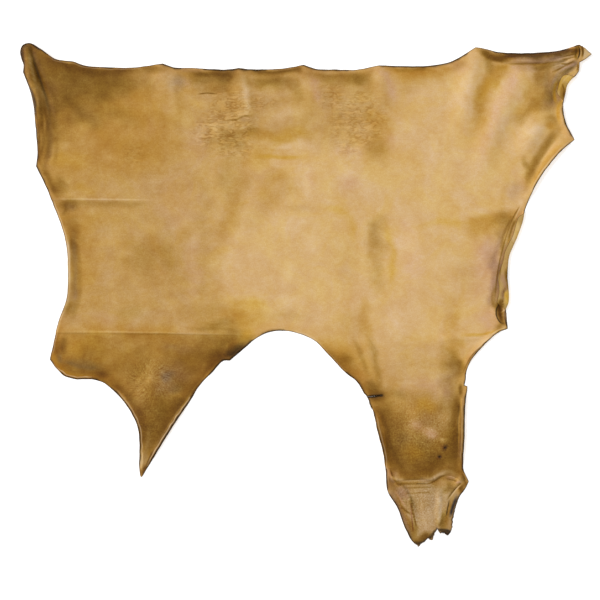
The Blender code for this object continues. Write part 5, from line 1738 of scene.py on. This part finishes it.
def fibre_tree(material):
    """A tree that grows curls along a path."""
    tree = bpy.data.node_groups.new("loose_fibres", "GeometryNodeTree")
    tree.interface.new_socket("Path", in_out="INPUT", socket_type="NodeSocketGeometry")
    for name in FIBRE_SIZES:
        tree.interface.new_socket(name, in_out="INPUT", socket_type="NodeSocketFloat")
    tree.interface.new_socket("Fibres", in_out="OUTPUT", socket_type="NodeSocketGeometry")
    start = Wire(tree, None)
    path, spacing, longest = (start.node("NodeGroupInput", {}, number) for number in range(3))

    line = start.node("GeometryNodeMeshToCurve", Mesh=path)
    roots = start.node("GeometryNodeResampleCurve", {"mode": "LENGTH"}, Curve=line, Length=spacing)
    curl = start.node("GeometryNodeCurveQuadraticBezier", Resolution=3,
                      Middle=(0.24, 0.0, 0.5), End=(0.05, 0.2, 1.0))
    taper = 1 - start.node("GeometryNodeSplineParameter") * 0.85
    ring = start.node("GeometryNodeCurvePrimitiveCircle", Resolution=3, Radius=0.04)
    fibre = start.node("GeometryNodeCurveToMesh", Curve=curl, Profile_Curve=ring,
                       Scale=taper, Fill_Caps=True)

    outward = start.node("GeometryNodeInputNamedAttribute", {"data_type": "FLOAT_VECTOR"},
                         Name="outward")
    stray = start.node("FunctionNodeRandomValue", {"data_type": "FLOAT_VECTOR"},
                       n0=(-0.7, -0.7, 0.0), n1=(0.7, 0.7, 0.3), Seed=3)
    way = start.node("ShaderNodeVectorMath", {"operation": "ADD"}, n0=outward, n1=stray)
    turned = start.node("FunctionNodeAlignRotationToVector", {"axis": "Z"}, Vector=way)
    size = start.node("FunctionNodeRandomValue", {"data_type": "FLOAT"}, 1, n2=0.25, n3=1.0, Seed=5)
    kept = start.node("FunctionNodeRandomValue", {"data_type": "BOOLEAN"}, 3, Probability=0.7, Seed=9)
    curls = start.node("GeometryNodeInstanceOnPoints", Points=roots, Selection=kept,
                       Instance=fibre, Rotation=turned, Scale=size * longest)
    grown = start.node("GeometryNodeRealizeInstances", Geometry=curls)
    dyed = start.node("GeometryNodeSetMaterial", Geometry=grown, Material=material)
    tree.links.new(dyed.socket, tree.nodes.new("NodeGroupOutput").inputs[0])
    return tree


tree = fibre_tree(fibre_dye())
print("the tree has", len(tree.nodes), "nodes")

# %% [markdown]
# What the tree grows is kept as a plain mesh, and the line and its modifier go. A fibre that
# would dip under the table flattens out just above it instead, as a soft curve and not a cut.

# %% Grow them
LOWEST = 0.3 * MILLIMETRE  # above the table

growth = path.modifiers.new("fibres", "NODES")
growth.node_group = tree
for item in tree.interface.items_tree:
    if item.name in FIBRE_SIZES:
        growth[item.identifier] = FIBRE_SIZES[item.name]
seen = path.evaluated_get(bpy.context.evaluated_depsgraph_get())
fibres = bpy.data.objects.new("loose_fibres", bpy.data.meshes.new_from_object(seen))
bpy.data.objects.remove(path)
bpy.context.scene.collection.objects.link(fibres)
for spot in fibres.data.vertices:
    if spot.co.z < LOWEST:
        spot.co.z = LOWEST * math.exp(spot.co.z / LOWEST / 4 - 0.25)
print("loose fibres:", len(fibres.data.polygons), "faces")

# %% [markdown]
# ## The studio
# A plain pale table that glows a little, so that no shadow greys it, a bright even sky and one
# large soft light from the left, low enough that every fold has a light side and a shaded
# side. The camera looks straight down from far off.

# %% Floor, light and camera
VIEW_MIDDLE = on_plan((300, 300))
VIEW_SIDE = 600 * SQUARE
LENS = 120.0  # mm
SENSOR = 36.0  # mm
FLOOR_SIDE = 14  # metres
FLOOR_GAP = 0.0005  # metres under the hide
GLOW = 0.45  # of the table's own light
SKY = 0.55
LAMP_AWAY = 4  # metres


def floor():
    """The pale table."""
    bpy.ops.mesh.primitive_plane_add(size=FLOOR_SIDE, location=(0, 0, -FLOOR_GAP))
    ground = bpy.context.object
    ground.name = "floor"
    material, shader, _ = finish("pale_floor", PALE, 0.8, 0.2)
    shader.inputs["Base Color"].default_value = (0.94, 0.94, 0.94, 1)
    shader.inputs["Emission Color"].default_value = (1, 1, 1, 1)
    shader.inputs["Emission Strength"].default_value = GLOW
    ground.data.materials.append(material)
    ground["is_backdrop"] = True
    return ground


def window_light(name, heading, height, spread, strength):
    """A broad light from far off: its compass heading and height above the table in degrees."""
    light = bpy.data.lights.new(name, "SUN")
    light.angle = math.radians(spread)
    light.energy = strength
    lamp = bpy.data.objects.new(name, light)
    around, up = math.radians(heading), math.radians(height)
    source = Vector((math.cos(around) * math.cos(up), math.sin(around) * math.cos(up), math.sin(up)))
    lamp.location = source * LAMP_AWAY
    lamp.rotation_euler = source.to_track_quat("Z", "Y").to_euler()
    bpy.context.scene.collection.objects.link(lamp)


ground = floor()
window_light("window", heading=165, height=42, spread=35, strength=2.1)
sky = bpy.data.worlds.new("even sky")
sky.use_nodes = True
sky.node_tree.nodes["Background"].inputs["Color"].default_value = (1, 1, 1, 1)
sky.node_tree.nodes["Background"].inputs["Strength"].default_value = SKY
bpy.context.scene.world = sky
camera = bpy.data.cameras.new("camera")
camera.lens = LENS
camera.sensor_width = SENSOR
eye = bpy.data.objects.new("camera", camera)
eye.location = (*VIEW_MIDDLE, VIEW_SIDE * LENS / SENSOR)
bpy.context.scene.collection.objects.link(eye)
bpy.context.scene.camera = eye
bpy.context.scene.view_settings.view_transform = "Standard"
print("the camera is", round(eye.location.z, 2), "m above the table")

# %% [markdown]
# ## Hand over
# The finished sheet stands for the solid hide and rides on its one body, and the fibres ride
# with it.

first, second, third = np.moveaxis(pattern[np.array(faces)], 1, 0)
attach(hide, "root")
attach(fibres, "root")
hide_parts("hide")

# %% [markdown]
# The boxes of the solid and of what was made on it are listed, each by its two corners.

# %% Sizes, and the end
boxes = (solid_bounds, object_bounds())
[[list(corner) for corner in box] for box in boxes]
